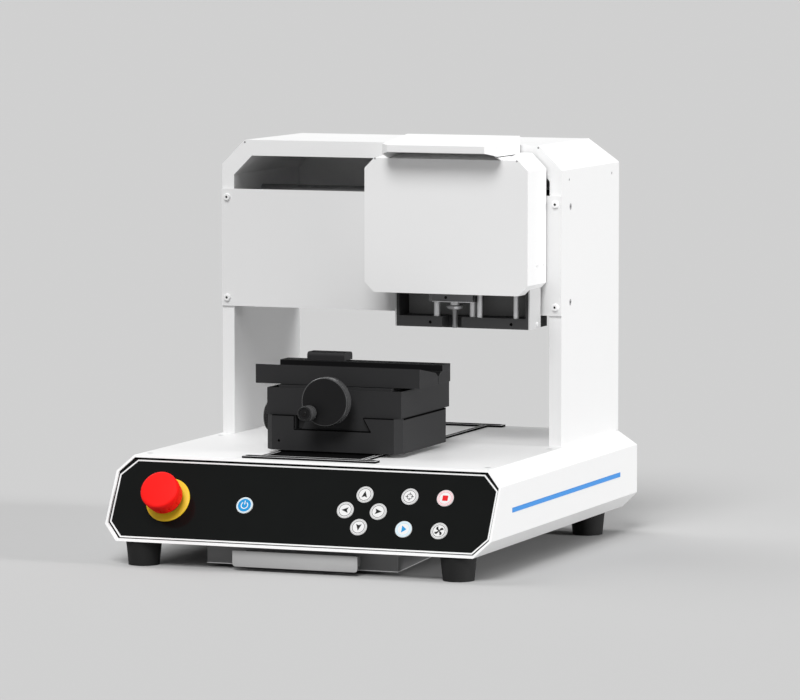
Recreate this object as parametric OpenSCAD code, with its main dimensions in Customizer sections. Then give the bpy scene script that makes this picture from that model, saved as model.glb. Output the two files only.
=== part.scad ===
// Desktop engraving machine: sloped base with a button panel, a portal with a
// sideways-moving spindle head, and a cross-slide vise on a moving table.
// Millimetres. +Z up, +X right, the control panel faces -Y.
// The origin is at floor level, under the middle of the base.

/* [Base] */
// Width of the base
base_w = 420; // [400:1:460]
// Depth of the base at its bottom
base_d = 465; // [460:1:500]
// Height of the base body above its feet
base_h = 83.5; // [80:0.5:95]
// Corner chamfer of the base body
base_chamfer = 16; // [10:0.5:18]
// Lean of the control panel away from upright, degrees
panel_lean = 29.8; // [26:0.2:32]
// Thickness of the base sheet
base_sheet = 2.5; // [1.5:0.1:3]
// Width of the lip that carries the bottom plate
base_lip = 12; // [10:1:14]
// Distance of the top screws from the side of the base
top_screw_side = 25; // [22:1:30]
// Radius of a countersunk screw recess in the base top
top_screw_r = 3.6; // [3:0.1:4]

/* [Feet and chip tray] */
// Height of a rubber foot
foot_h = 25; // [24:0.5:32]
// Radius of a foot where it meets the base
foot_r_top = 18.5; // [16:0.5:18.5]
// Radius of a foot at the floor
foot_r_bottom = 16; // [12:0.5:18]
// Sideways distance of a foot from the side of the base
foot_side = 38.5; // [38:0.5:45]
// Distance of the front feet from the front edge
foot_front = 20.5; // [20:0.5:30]
// Distance of the rear feet from the rear edge
foot_rear = 50.5; // [30:0.5:70]
// Width of the chip tray
tray_w = 208; // [180:1:220]
// Length of the chip tray
tray_l = 260; // [220:1:280]
// Distance of the tray front from the base front
tray_setback = 27.5; // [24:0.5:40]
// Height of the tray at its front
tray_h = 19.7; // [16:0.1:20.5]
// Slope of the tray floor, degrees
tray_slope = 2.5; // [0:0.5:3]
// Thickness of the tray sheet
tray_sheet = 1.5; // [1:0.1:2]
// Width of the pull plate
pull_w = 136; // [100:1:160]
// Gap for the fingers behind the pull plate
pull_gap = 18; // [14:0.5:19]

/* [Control panel] */
// Depth of the panel face behind the rim of the base
panel_recess = 2.5; // [1.5:0.1:4]
// Thickness of the panel
panel_t = 3; // [2:0.1:4]
// Radius of a push button
button_r = 8.75; // [7:0.05:8.9]
// How far a button stands out of the panel
button_rise = 1.2; // [1.1:0.1:2]
// Travel of a push button
button_travel = 1; // [0.6:0.1:1.1]
// Height of the button rows' middle line, up the slope
button_mid_v = 46.4; // [44:0.1:49]
// Distance of a direction button from the middle of its pad
pad_r = 17.8; // [17.5:0.1:19]
// Middle of the direction pad
pad_x = 66; // [60:0.5:70]
// First column of right-hand buttons
column_a_x = 114.4; // [112:0.1:118]
// Second column of right-hand buttons
column_b_x = 152.4; // [145:0.1:158]
// Place of the power button
power_x = -61.7; // [-80:0.1:-40]
// Place of the emergency stop
stop_x = -147; // [-155:0.5:-130]
// Height of the emergency stop, up the slope
stop_v = 48.5; // [46:0.5:52]
// Radius of the emergency stop's mushroom head
stop_head_r = 20; // [18:0.5:22]
// Radius of the yellow ring
stop_ring_r = 24.5; // [23:0.5:28]
// Travel of the emergency stop
stop_travel = 3.5; // [2:0.5:4]

/* [Table and Y drive] */
// Sideways offset of the table and its slide frame
frame_x = -6; // [-10:1:0]
// Half of the distance between the inner sides of the slide rails
rail_half_gap = 52; // [48:0.5:56]
// Width of a slide rail
rail_w = 5; // [4:0.5:7]
// Height of the slide frame above the base
rail_h = 2; // [1.6:0.1:3]
// Half of the width of the slide frame's end strips
strip_half_w = 73; // [68:0.5:80]
// Width of an end strip
strip_d = 13; // [10:0.5:14]
// Distance of the slide frame from the front edge of the base top
frame_front = 11; // [8:0.5:16]
// Distance of the slide frame from the rear edge of the base
frame_rear = 20.5; // [18:0.5:30]
// Length of the table plate
table_l = 176; // [165:1:185]
// Thickness of the table plate
table_t = 3.7; // [3.2:0.1:5]
// Front-to-back travel of the table
table_travel = 130; // [100:1:135]
// Radius of a Y guide rod
y_rod_r = 5; // [4:0.5:6]
// Half of the distance between the Y guide rods
y_rod_half_gap = 70; // [55:1:72]
// Radius of a drive screw
screw_r = 4; // [3:0.25:4.5]
// Side of a drive motor's square body
motor_w = 42; // [38:1:43]
// Length of a drive motor
motor_l = 37; // [34:1:40]
// Distance of the Y motor from the rear of the base
motor_rear = 21.2; // [15:0.1:30]

/* [Portal] */
// Distance of the portal's side from the side of the base
portal_step = 19; // [17:0.5:25]
// Distance of the portal's front from the middle of the base
portal_y = 40.3; // [38:0.1:46]
// Depth of the portal
portal_d = 184.5; // [176:0.5:186]
// Height of the portal above the base
portal_h = 313.5; // [305:0.5:330]
// Thickness of a portal column
column_w = 13.4; // [12:0.1:15]
// Thickness of the portal's top
crown_t = 16.6; // [14:0.1:18]
// Chamfer of the portal's top corners
portal_chamfer = 26; // [20:0.5:28]
// Chamfer of the portal's top rear edge
portal_rear_chamfer = 24; // [16:0.5:26]
// Thickness of the portal sheet
portal_sheet = 2; // [1.5:0.1:2.5]
// Height of the cover plate's lower edge above the base
cover_z = 136.8; // [134:0.1:138]
// Height of the cover plate
cover_h = 124.6; // [120:0.1:126]
// Distance of a cover screw from the plate's side
cover_screw_in = 6.3; // [5.5:0.1:7]
// Distance of a cover screw from the plate's lower or upper edge
cover_screw_edge = 8.8; // [7:0.1:12]

/* [Head] */
// Rest place of the head's middle, from the middle of the base
head_x = 85; // [80:0.5:86]
// Width of the head cover
head_w = 180; // [178:1:182]
// Depth of the head cover
head_d = 57; // [56:0.5:60]
// Height of the head cover at its front
head_h = 139.5; // [136:0.5:140.5]
// Chamfer of the head cover
head_chamfer = 10.5; // [8:0.5:12]
// Thickness of the head sheet
head_sheet = 2; // [1.5:0.1:2.5]
// Slope of the head cover's top, degrees
head_slope = 5.4; // [4:0.1:6]
// Gap between the head and the cover plate
head_gap = 1.3; // [1:0.1:2]
// Width of the hood
hood_w = 125; // [110:1:140]
// How far the hood stands out in front of the head cover
hood_overhang = 25; // [15:0.5:30]
// Height of the hood's front lip
hood_lip = 7; // [5:0.5:9]
// Chamfer of the hood's front corners
hood_chamfer = 9; // [4:0.5:12]
// Width of the spindle frame
frame_w = 146; // [140:1:150]
// Depth of the spindle frame in front of its back plate
frame_d = 28.5; // [28:0.5:30]
// Height of the spindle frame's bottom plate
foot_plate_t = 11; // [9:0.5:12]
// Upward travel of the spindle
spindle_up = 26; // [15:1:26]
// Downward travel of the spindle
spindle_down = 14; // [8:1:15]
// Place of the spindle, from the middle of the head
spindle_x = -1.6; // [-4:0.1:2]
// Radius of the spindle motor
spindle_r = 12; // [10:0.5:12.5]
// Radius of the cutter's shank
cutter_r = 2.8; // [1.5:0.1:3]
// Length of the cutter below its collet
cutter_l = 19.5; // [12:0.5:20]
// Distance of a Z guide rod from the spindle
z_rod_x = 20; // [19.5:0.5:21]
// Radius of a Z guide rod
z_rod_r = 3.5; // [3:0.1:3.6]

/* [Vise] */
// Width of the lower block
vise_w = 150; // [140:1:160]
// Depth of the lower block
vise_d = 130; // [126:1:135]
// Height of the lower block
vise_h = 36; // [34:0.5:40]
// Distance of the lower block's front from the table's front
vise_y = 33.5; // [30:0.5:36]
// Corner chamfer of the lower block
vise_chamfer = 7.5; // [4:0.5:9]
// Depth of the dovetail
dovetail_h = 14; // [12:0.5:15]
// Width of the dovetail tongue at its foot
dovetail_w = 76.5; // [70:0.5:80]
// Thickness of the gib beside the dovetail tongue
gib_t = 6; // [4:0.5:7]
// Distance of the gib from the lower block's front
gib_in = 12; // [4:1:20]
// Depth of the upper block
slide_d = 138.5; // [136:0.5:142]
// Height of the upper block
slide_h = 27.5; // [27:0.5:32]
// Width of the jaws
jaw_w = 181; // [160:1:190]
// Depth of the front jaw
jaw_front_d = 53.4; // [46:0.1:56]
// Depth of the rear jaw
jaw_rear_d = 34.4; // [32:0.1:40]
// Height of the front jaw
jaw_h = 19.7; // [16:0.1:24]
// How much lower the jaws are at the seam
jaw_step = 7.5; // [0:0.1:9]
// Gap between the closed jaws
jaw_gap = 1; // [0.8:0.1:2]
// Travel of each jaw
jaw_travel = 22; // [10:1:22]
// Radius of the hand wheel
wheel_r = 25; // [20:0.5:27]
// Thickness of the hand wheel
wheel_t = 10; // [8:0.5:12]
// Radius of the vise screw
vise_screw_r = 5; // [4:0.25:6]
// Length of the crank knob
crank_l = 13.5; // [10:0.5:28]
// Radius of the crank knob
crank_r = 7.8; // [6:0.1:8.5]
// Radius of the locking knob
lock_r = 15; // [12:0.5:16]
// Thickness of the locking knob
lock_t = 5; // [4:0.5:10]
// Width of the work stop
stop_block_w = 42; // [30:1:50]
// Depth of the work stop
stop_block_d = 22.2; // [18:0.1:26]
// Height of the work stop
stop_block_h = 8.2; // [6:0.1:12]
// Depth of the work stop's plate
stop_plate_d = 22.8; // [18:0.1:26]
// Thickness of the work stop's plate
stop_plate_t = 6.4; // [4:0.1:8]

/* [Rear] */
// Radius of the fan opening
fan_r = 27; // [24:0.5:27.5]
// Place of the fan
fan_x = 130; // [110:1:150]
// Place of the power inlet
inlet_x = -130; // [-150:1:-110]
// Width of the power inlet
inlet_w = 48; // [44:1:50]
// Height of the power inlet
inlet_h = 27; // [24:1:30]

/* [Fits] */
// Side clearance between sliding pieces
slip = 0.3; // [0.2:0.05:0.5]
// Radial clearance of a rod in its bearing
run_fit = 0.1; // [0.05:0.01:0.15]
// Radial clearance of a turning shaft in its bearing
turn_fit = 0.2; // [0.1:0.05:0.3]
// Clearance round a fixed insert
seat = 0.15; // [0.05:0.05:0.25]

/* [Hidden] */
$fn = 48;

white = [0.95, 0.95, 0.95];
black = [0.12, 0.12, 0.12];
steel = [0.75, 0.76, 0.78];
grey = [0.5, 0.5, 0.5];
far = 1000;

// base
base_front = -base_d / 2;
base_rear = base_d / 2;
base_top = foot_h + base_h;
foot_x = base_w / 2 - foot_side;
top_screw_x = base_w / 2 - top_screw_side;
lean_run = base_h * tan(panel_lean);
inner_floor = foot_h + base_sheet;
plate_t = 2;
plate_top = inner_floor + plate_t;
panel_z = -panel_recess;
panel_back = panel_z - panel_t;
stripe_z = foot_h + 38.5;
stripe_h = 5;
stripe_front = 71;
stripe_rear = 56.5;
stripe_depth = 1;
stripe_proud = 0.3;

// portal
portal_w = base_w - 2 * portal_step;
portal_top = base_top + portal_h;
portal_rear = portal_y + portal_d;
bay_w = portal_w / 2 - column_w;
bay_top = portal_top - crown_t;
bay_chamfer = portal_chamfer - 5.5;
// sum of Y and Z along the inner side of the sheet of the rear chamfer
crown_line = portal_rear + portal_top - portal_rear_chamfer - portal_sheet * sqrt(2);
cover_t = 2;
cover_front = portal_y - cover_t;
cover_bottom = base_top + cover_z;
cover_top = cover_bottom + cover_h;
cover_screw_x = portal_w / 2 - cover_screw_in;
cover_screw_z = [cover_bottom + cover_screw_edge, cover_top - cover_screw_edge];

// X drive
x_rod_r = 6;
x_rod_y = portal_y + 80;
x_rod_z_low = cover_bottom + 45;
x_rod_z_high = cover_top - 5;
x_screw_z = (x_rod_z_low + x_rod_z_high) / 2;

// head
head_rear = cover_front - head_gap;
head_front = head_rear - head_d;
head_rise = head_d * tan(head_slope);
frame_back = head_rear - 2;
frame_plate_t = 4;
frame_front_y = frame_back - frame_plate_t - frame_d;
foot_plate_top = cover_bottom - 1.3;
foot_plate_z = foot_plate_top - foot_plate_t;
head_z = foot_plate_top + 25.5;
head_top = head_z + head_h;
cage_x0 = head_x - 63;
cage_x1 = cage_x0 + frame_w;
carrier_y = portal_y + 13.7;
carrier_t = 6;
carriage_w = 70;
carriage_front = x_rod_y - 20;
carriage_d = 40;

// spindle
axis_x = head_x + spindle_x;
axis_y = frame_front_y + 10;
block_half = 25;
block_z = foot_plate_top + 16;
block_h = 58;
block_front = axis_y - 10.5;
block_d = 27;
tower_z = block_z + block_h + spindle_up + 1;
tower_t = 6;
z_screw_x = head_x + 45;
z_screw_y = axis_y + 2;
z_screw_r = 3;
z_motor_w = 28;
z_motor_h = 34;
post_r = 3;
post_y = axis_y - 4;
post_a_x = axis_x + 29;
post_b_x = head_x + 67.5;
arm_z = block_z + 25;
arm_h = 20;
collet_z = foot_plate_top + 7.5;
collet_r = 8;

// table and Y drive
table_z = base_top + slip;
table_top = table_z + table_t;
strip_front = base_front + lean_run + frame_front;
strip_rear = base_rear - frame_rear;
table_front = strip_front + strip_d + 5;
table_half_w = rail_half_gap - 0.5;
y_drive_z = base_top - 38.5;
y_rod_front = table_front + 8;
y_plate_t = 12;
y_rod_rear = base_rear - motor_rear - motor_l - y_plate_t;
carriage_y = table_front + 86;
carriage_l = 60;
carriage_h = 24;
post_half_w = 14;
slot_gap = 2;
slot_front = carriage_y - slot_gap;
slot_rear = carriage_y + carriage_l + table_travel + slot_gap;

// vise
vise_front = table_front + vise_y;
vise_z = table_top;
vise_top = vise_z + vise_h;
way_z = vise_top - dovetail_h;
flank = dovetail_h * tan(30);
gib_gap = 0.3;
tongue_right = 41;
tongue_left = tongue_right - dovetail_w;
slide_front = vise_front + 4;
slide_z = vise_top + slip;
slide_top = slide_z + slide_h;
slide_half_w = vise_w / 2 - 1;
way_h = 2.8;
way_top = slide_top + way_h;
jaw_z = way_top + slip;
jaw_front_y = slide_front + 9;
jaw_seam = jaw_front_y + jaw_front_d;
jaw_rear_y = jaw_seam + jaw_gap;
seam_z = jaw_z + jaw_h - jaw_step;
seam_chamfer_w = 7;
seam_chamfer_h = 4.5;
block_x = -63.4;
block_y = jaw_rear_y + jaw_rear_d - 14.7;
screw_z = slide_top - 10.5;
groove_half = 12.5;
groove_z = screw_z - 8;
nut_l = 20;
nut_in = 5;
groove_front = jaw_seam - nut_in - nut_l - jaw_travel - 2;
groove_rear = jaw_rear_y + nut_in + nut_l + jaw_travel + 2;
wheel_back = slide_front - 17.5;
wheel_front = wheel_back - wheel_t;
crank_dx = -15;
crank_dz = -11;
crank_pin_r = 2.5;
crank_front = wheel_front - crank_l - 3;
lock_y = vise_front + 46.5;
lock_z = vise_top - 6;

// rear and electronics
fan_z = foot_h + 35;
fan_t = 15;
fan_y = base_rear - base_sheet;
fan_side = 2 * fan_r + 6;
fan_hub_r = 9;
fan_blades = 7;
inlet_z = foot_h + 38;
usb_x = -base_w / 2 + 40;
usb_w = 12;
usb_h = 8;
usb_z = plate_top + 8;
circuit_x = -base_w / 2 + 25;
circuit_w = 90;
circuit_l = 130;
circuit_t = 1.6;
circuit_z = plate_top + 6;
circuit_rear = 42.5;
supply_w = 70;
supply_l = 170;
supply_h = 42;
supply_rear = 122.5;

// ---- helpers ----

// draws its child, given as X and Z, as a solid between two Y values
module prism_y(y0, y1) {
  translate([0, y1, 0]) rotate([90, 0, 0]) linear_extrude(y1 - y0) children();
}

// draws its child, given as Y and Z, as a solid between two X values
module prism_x(x0, x1) {
  translate([x0, 0, 0]) rotate([90, 0, 90]) linear_extrude(x1 - x0) children();
}

// a box given by its low and high corners
module box(low, high) {
  translate(low) cube(high - low);
}

// a cylinder along Y between two Y values
module rod_y(x, z, r, y0, y1) {
  translate([x, y1, z]) rotate([90, 0, 0]) cylinder(r = r, h = y1 - y0);
}

// a cylinder along X between two X values
module rod_x(y, z, r, x0, x1) {
  translate([x0, y, z]) rotate([0, 90, 0]) cylinder(r = r, h = x1 - x0);
}

// a cylinder along Z between two Z values
module rod_z(x, y, r, z0, z1) {
  translate([x, y, z0]) cylinder(r = r, h = z1 - z0);
}

// moves to the panel's own frame: X sideways, Y up the slope, Z out of it
module on_slope() {
  translate([0, base_front, foot_h]) rotate([90 - panel_lean, 0, 0]) children();
}

// a place on the panel, in the panel's frame
module panel_at(x, v) {
  on_slope() translate([x, v, 0]) children();
}

// a cylinder in the panel's frame between two heights
module peg(r, z0, z1) {
  translate([0, 0, z0]) cylinder(r = r, h = z1 - z0);
}

// rectangle with cut corners: low and high corner, bottom and top cuts
module cut_rect(low, high, low_cut, high_cut) {
  polygon([[low[0] + low_cut, low[1]], [high[0] - low_cut, low[1]],
    [high[0], low[1] + low_cut], [high[0], high[1] - high_cut],
    [high[0] - high_cut, high[1]], [low[0] + high_cut, high[1]],
    [low[0], high[1] - high_cut], [low[0], low[1] + low_cut]]);
}

// cut of a corner that keeps a sheet's thickness when a shape is drawn smaller
function inner_cut(cut, inset) = cut - inset * (2 - sqrt(2));

// ---- base ----

module base_section(inset) {
  cut = inner_cut(base_chamfer, inset);
  half = base_w / 2 - inset;
  cut_rect([-half, foot_h + inset], [half, base_top - inset], cut, cut);
}

module base_side() {
  polygon([[base_front, foot_h], [base_rear, foot_h], [base_rear, base_top - base_chamfer],
    [base_rear - base_chamfer, base_top], [base_front + lean_run, base_top]]);
}

module base_side_inner() {
  cut = inner_cut(base_chamfer, base_sheet);
  rear = base_rear - base_sheet;
  top = base_top - base_sheet;
  polygon([[base_front - 20, foot_h], [rear, foot_h], [rear, top - cut],
    [rear - cut, top], [base_front - 20, top]]);
}

module top_screw_recesses() {
  for (x = [-top_screw_x, top_screw_x], y = [strip_front + 9, portal_y - 20.3])
    translate([x, y, base_top - 1.6]) cylinder(r1 = top_screw_r - 1.6, r2 = top_screw_r, h = 1.61);
}

module base_shell() {
  color(white) difference() {
    intersection() {
      prism_y(base_front, base_rear) base_section(0);
      prism_x(-base_w / 2, base_w / 2) base_side();
    }
    intersection() {
      prism_y(base_front - 1, base_rear) base_section(base_sheet);
      prism_x(-base_w / 2, base_w / 2) base_side_inner();
    }
    box([-base_w / 2 + base_chamfer + base_lip, base_front + base_lip + 30, foot_h - 1],
      [base_w / 2 - base_chamfer - base_lip, base_rear - base_lip - base_sheet, inner_floor + 1]);
    box([frame_x - post_half_w - slot_gap, slot_front, base_top - base_sheet - 1],
      [frame_x + post_half_w + slot_gap, slot_rear, base_top + 1]);
    top_screw_recesses();
    for (s = [-1, 1])
      box([s > 0 ? base_w / 2 - stripe_depth : -base_w / 2 - 1, base_front + stripe_front, stripe_z],
        [s > 0 ? base_w / 2 + 1 : -base_w / 2 + stripe_depth, base_rear - stripe_rear, stripe_z + stripe_h]);
    rod_y(fan_x, fan_z, fan_r, base_rear - base_sheet - 1, base_rear + 1);
    box([inlet_x - inlet_w / 2, base_rear - base_sheet - 1, inlet_z - inlet_h / 2],
      [inlet_x + inlet_w / 2, base_rear + 1, inlet_z + inlet_h / 2]);
    box([usb_x - usb_w / 2 - 1, base_rear - base_sheet - 1, usb_z - 1],
      [usb_x + usb_w / 2 + 1, base_rear + 1, usb_z + usb_h + 1]);
  }
}

module side_stripes() {
  color([0.31, 0.63, 0.96])
    for (s = [-1, 1])
      box([s > 0 ? base_w / 2 - stripe_depth : -base_w / 2 - stripe_proud,
          base_front + stripe_front + seat, stripe_z + seat],
        [s > 0 ? base_w / 2 + stripe_proud : -base_w / 2 + stripe_depth,
          base_rear - stripe_rear - seat, stripe_z + stripe_h - seat]);
}

module rubber_feet() {
  color(black)
    for (x = [-foot_x, foot_x], y = [base_front + foot_front, base_rear - foot_rear])
      translate([x, y, 0]) difference() {
        cylinder(r1 = foot_r_bottom, r2 = foot_r_top, h = foot_h);
        translate([0, 0, -1]) cylinder(r = 6, h = 9);
      }
}

// the bottom plate carries the tray on two folded runners
runner_x = tray_w / 2 + 5 + slip;
runner_t = 2;
tray_top = foot_h - 1.8;
tray_flange_z = tray_top - tray_sheet;
runner_z = tray_flange_z - slip - 1.2;
tray_front = base_front + tray_setback;
chip_hole_x = 40;
chip_hole_front = tray_front + 65;
chip_hole_rear = tray_front + tray_l - 15;

module bottom_plate() {
  edge = base_chamfer + base_lip - 8;
  color(grey) {
    difference() {
      box([-base_w / 2 + edge, base_front + base_lip + 22, inner_floor],
        [base_w / 2 - edge, base_rear - base_lip - base_sheet + 8, plate_top]);
      box([-chip_hole_x, chip_hole_front, inner_floor - 1], [chip_hole_x, chip_hole_rear, plate_top + 1]);
    }
    for (s = [0, 1]) mirror([s, 0, 0]) {
      box([runner_x, base_front + base_lip + 34, runner_z],
        [runner_x + runner_t, tray_front + tray_l, inner_floor]);
      box([runner_x - 4.5, base_front + base_lip + 34, runner_z],
        [runner_x, tray_front + tray_l, runner_z + 1.2]);
    }
  }
}

// ---- chip tray ----

tray_low = tray_top - tray_h;
tray_rear = tray_front + tray_l;
tray_lift = tray_l * tan(tray_slope);

module chip_tray() {
  half = tray_w / 2;
  color([0.22, 0.22, 0.22]) {
    difference() {
      prism_x(-half, half) polygon([[tray_front, tray_low], [tray_rear, tray_low + tray_lift],
        [tray_rear, tray_top], [tray_front, tray_top]]);
      prism_x(-half + tray_sheet, half - tray_sheet) polygon([
        [tray_front + tray_sheet, tray_low + tray_sheet],
        [tray_rear - tray_sheet, tray_low + tray_lift + tray_sheet],
        [tray_rear - tray_sheet, tray_top + 1], [tray_front + tray_sheet, tray_top + 1]]);
    }
    for (s = [0, 1]) mirror([s, 0, 0])
      box([half, tray_front + 10, tray_flange_z], [half + 5, tray_rear, tray_top]);
  }
}

module tray_pull() {
  t = 2.5;
  z0 = tray_low + 0.5;
  z1 = tray_top - 3;
  y0 = tray_front - pull_gap - t;
  color([0.85, 0.85, 0.85]) {
    prism_y(y0, y0 + t) cut_rect([-pull_w / 2, z0], [pull_w / 2, z1], 3, 0.5);
    for (s = [0, 1]) mirror([s, 0, 0])
      box([pull_w / 2 - 6, y0 + t, z0 + 4], [pull_w / 2 - 4, tray_front, z1 - 1]);
  }
}

// ---- control panel ----

// centres of the push buttons on the panel: sideways, up the slope
power_at = [power_x, button_mid_v];
up_at = [pad_x, button_mid_v + pad_r];
left_at = [pad_x - pad_r, button_mid_v];
right_at = [pad_x + pad_r, button_mid_v];
down_at = [pad_x, button_mid_v - pad_r];
focus_at = [column_a_x, button_mid_v + pad_r];
stop_at = [column_b_x, button_mid_v + pad_r];
play_at = [column_a_x, button_mid_v - pad_r];
fan_at = [column_b_x, button_mid_v - pad_r];
all_buttons = [power_at, up_at, left_at, right_at, down_at, focus_at, stop_at, play_at, fan_at];

button_back = panel_back - seat;
flange_t = 1.2;
switch_h = 4;
board_z = panel_back - 8;
stem_end = board_z + switch_h + button_travel + 0.2;
collar_r = 11;
collar_back = panel_back - 28;
stop_flange_top = panel_z + 6.5;
stem_r = 5;
stem_top = panel_z + 20;

module control_panel() {
  color(black) difference() {
    intersection() {
      prism_y(base_front - 1, 0) base_section(base_sheet + seat);
      on_slope() box([-base_w, -100, panel_back], [base_w, 200, panel_z]);
    }
    for (p = all_buttons) panel_at(p[0], p[1]) peg(button_r + 0.25, panel_back - 1, panel_z + 1);
    panel_at(stop_x, stop_v) peg(collar_r + seat, panel_back - 1, panel_z + 1);
  }
}

module push_button(at) {
  panel_at(at[0], at[1]) {
    peg(button_r, button_back, panel_z + button_rise);
    peg(button_r + 1.5, button_back - flange_t, button_back);
    peg(2.5, stem_end, button_back - flange_t);
  }
}

module button_board() {
  low = power_at[0] - 12;
  high = column_b_x + 14;
  v0 = button_mid_v - pad_r - 9;
  v1 = button_mid_v + pad_r + 9;
  color([0.1, 0.35, 0.2]) on_slope() {
    box([low, v0, board_z - 1.6], [high, v1, board_z]);
    for (p = all_buttons)
      translate([p[0] - 3, p[1] - 3, board_z]) cube([6, 6, switch_h]);
    for (x = [low + 4, column_a_x + 19, 0], v = [v0 + 4, v1 - 4])
      translate([x, v, board_z]) cylinder(r = 3, h = panel_back - board_z);
  }
}

module e_stop_ring() {
  color([0.94, 0.8, 0.2]) panel_at(stop_x, stop_v) difference() {
    peg(stop_ring_r, panel_z, panel_z + 1.5);
    peg(collar_r + seat, panel_z - 1, panel_z + 3);
  }
}

module e_stop_collar() {
  color(black) panel_at(stop_x, stop_v) difference() {
    union() {
      peg(collar_r, collar_back, panel_z + 2);
      peg(collar_r + 4, panel_z + 1.5, stop_flange_top);
      peg(collar_r + 3, panel_back - 4, panel_back);
    }
    peg(stem_r + turn_fit, collar_back + 3, stop_flange_top + 1);
  }
}

module e_stop_stem() {
  color(grey) panel_at(stop_x, stop_v) peg(stem_r, collar_back + 3 + stop_travel + 1, stem_top);
}

module e_stop_head() {
  low = panel_z + 8;
  high = panel_z + 28;
  cup = low + 6;
  r = stop_head_r;
  round = 3;
  arc = [for (a = [0:15:90]) [r - round + round * cos(a), high - round + round * sin(a)]];
  color([1, 0.14, 0.14]) panel_at(stop_x, stop_v)
    rotate_extrude() polygon(concat([[stem_r + turn_fit, stem_top + seat], [0, stem_top + seat], [0, high]],
      [for (i = [6:-1:0]) arc[i]],
      [[r, low + 1], [r - 1, low], [r - 3.5, low], [r - 3.5, cup], [stem_r + turn_fit, cup]]));
}

// ---- table and Y drive ----

module slide_frame() {
  color(steel) translate([frame_x, 0, base_top]) {
    for (y = [strip_front, strip_rear - strip_d])
      translate([-strip_half_w, y, 0]) cube([2 * strip_half_w, strip_d, rail_h]);
    for (s = [0, 1]) mirror([s, 0, 0])
      translate([rail_half_gap, strip_front + strip_d, 0])
        cube([rail_w, strip_rear - strip_front - 2 * strip_d, rail_h]);
  }
}

module y_table() {
  color(black) box([frame_x - table_half_w, table_front, table_z],
    [frame_x + table_half_w, table_front + table_l, table_top]);
}

module y_carriage() {
  half = y_rod_half_gap + y_rod_r + 9;
  z0 = y_drive_z - carriage_h / 2;
  z1 = y_drive_z + carriage_h / 2;
  color(grey) difference() {
    union() {
      box([-half, carriage_y, z0], [half, carriage_y + carriage_l, z1]);
      box([frame_x - post_half_w, carriage_y, z1],
        [frame_x + post_half_w, carriage_y + carriage_l, table_z]);
    }
    for (x = [-y_rod_half_gap, y_rod_half_gap])
      rod_y(x, y_drive_z, y_rod_r + run_fit, carriage_y - 1, carriage_y + carriage_l + 1);
    rod_y(0, y_drive_z, screw_r + turn_fit, carriage_y - 1, carriage_y + carriage_l + 1);
  }
}

module y_guides() {
  half = y_rod_half_gap + y_rod_r + 8;
  color(steel) {
    for (x = [-y_rod_half_gap, y_rod_half_gap])
      rod_y(x, y_drive_z, y_rod_r, y_rod_front, y_rod_rear);
    for (y = [y_rod_front - y_plate_t, y_rod_rear])
      difference() {
        box([-half, y, plate_top], [half, y + y_plate_t, y_drive_z + 14]);
        rod_y(0, y_drive_z, screw_r + turn_fit, y - 1, y + y_plate_t + 1);
      }
  }
}

module y_lead_screw() {
  color(steel) rod_y(0, y_drive_z, screw_r, y_rod_front - y_plate_t + 2, y_rod_rear + y_plate_t + 10);
}

// a square motor whose face is at z = 0 and whose body runs down from it
module motor(w, l, shaft_r) {
  difference() {
    translate([0, 0, -l]) linear_extrude(l) cut_rect([-w / 2, -w / 2], [w / 2, w / 2], w * 0.1, w * 0.1);
    translate([0, 0, -12]) cylinder(r = shaft_r + turn_fit, h = 13);
  }
}

module y_motor() {
  color(black) translate([0, y_rod_rear + y_plate_t, y_drive_z]) rotate([90, 0, 0])
    motor(motor_w, motor_l, screw_r);
}

// ---- portal ----

module portal_outline(inset) {
  cut = inner_cut(portal_chamfer, inset);
  half = portal_w / 2 - inset;
  cut_rect([-half, base_top + inset], [half, portal_top - inset], 0.01, cut);
}

module bay_outline(outset) {
  half = bay_w + outset;
  cut = inner_cut(bay_chamfer, -outset);
  cut_rect([-half, base_top - 10], [half, bay_top + outset], 0.01, cut);
}

module portal_side() {
  polygon([[portal_y, base_top], [portal_rear, base_top], [portal_rear, portal_top - portal_rear_chamfer],
    [portal_rear - portal_rear_chamfer, portal_top], [portal_y, portal_top]]);
}

// the side outline of the space inside the sheet, open to the rear
module portal_side_inner(front) {
  top = portal_top - portal_sheet;
  polygon([[front, base_top - 10], [portal_rear + 1, base_top - 10],
    [portal_rear + 1, crown_line - portal_rear - 1], [crown_line - top, top], [front, top]]);
}

module side_screw_recesses() {
  for (s = [0, 1]) mirror([s, 0, 0]) {
    for (y = [portal_y + 23.5, portal_rear - 24])
      rod_x(y, portal_top - 36.5, 1.6, portal_w / 2 - 1.2, portal_w / 2 + 1);
    for (z = [cover_top - 12.5, cover_bottom + 12.3])
      translate([portal_w / 2 - 1.5, portal_y + 28, z]) rotate([0, 90, 0])
        cylinder(r1 = 2.2, r2 = 3.7, h = 1.51);
  }
}

module gantry_shell() {
  color(white) difference() {
    intersection() {
      prism_y(portal_y, portal_rear) portal_outline(0);
      prism_x(-portal_w / 2, portal_w / 2) portal_side();
    }
    intersection() {
      prism_y(portal_y - 1, portal_rear + 1) bay_outline(0);
      prism_x(-portal_w / 2, portal_w / 2) portal_side_inner(portal_y - 1);
    }
    intersection() {
      prism_y(portal_y, portal_rear + 1) difference() {
        portal_outline(portal_sheet);
        bay_outline(portal_sheet);
      }
      prism_x(-portal_w / 2, portal_w / 2) portal_side_inner(portal_y + portal_sheet);
    }
    box([-bay_w - portal_sheet - 1, portal_rear - portal_sheet - seat, cover_bottom - seat],
      [bay_w + portal_sheet + 1, portal_rear + 1, crown_line - portal_rear]);
    for (x = [-cover_screw_x, cover_screw_x], z = cover_screw_z)
      rod_y(x, z, 2 + seat, portal_y - 1, portal_y + portal_sheet + 1);
    side_screw_recesses();
  }
}

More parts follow.
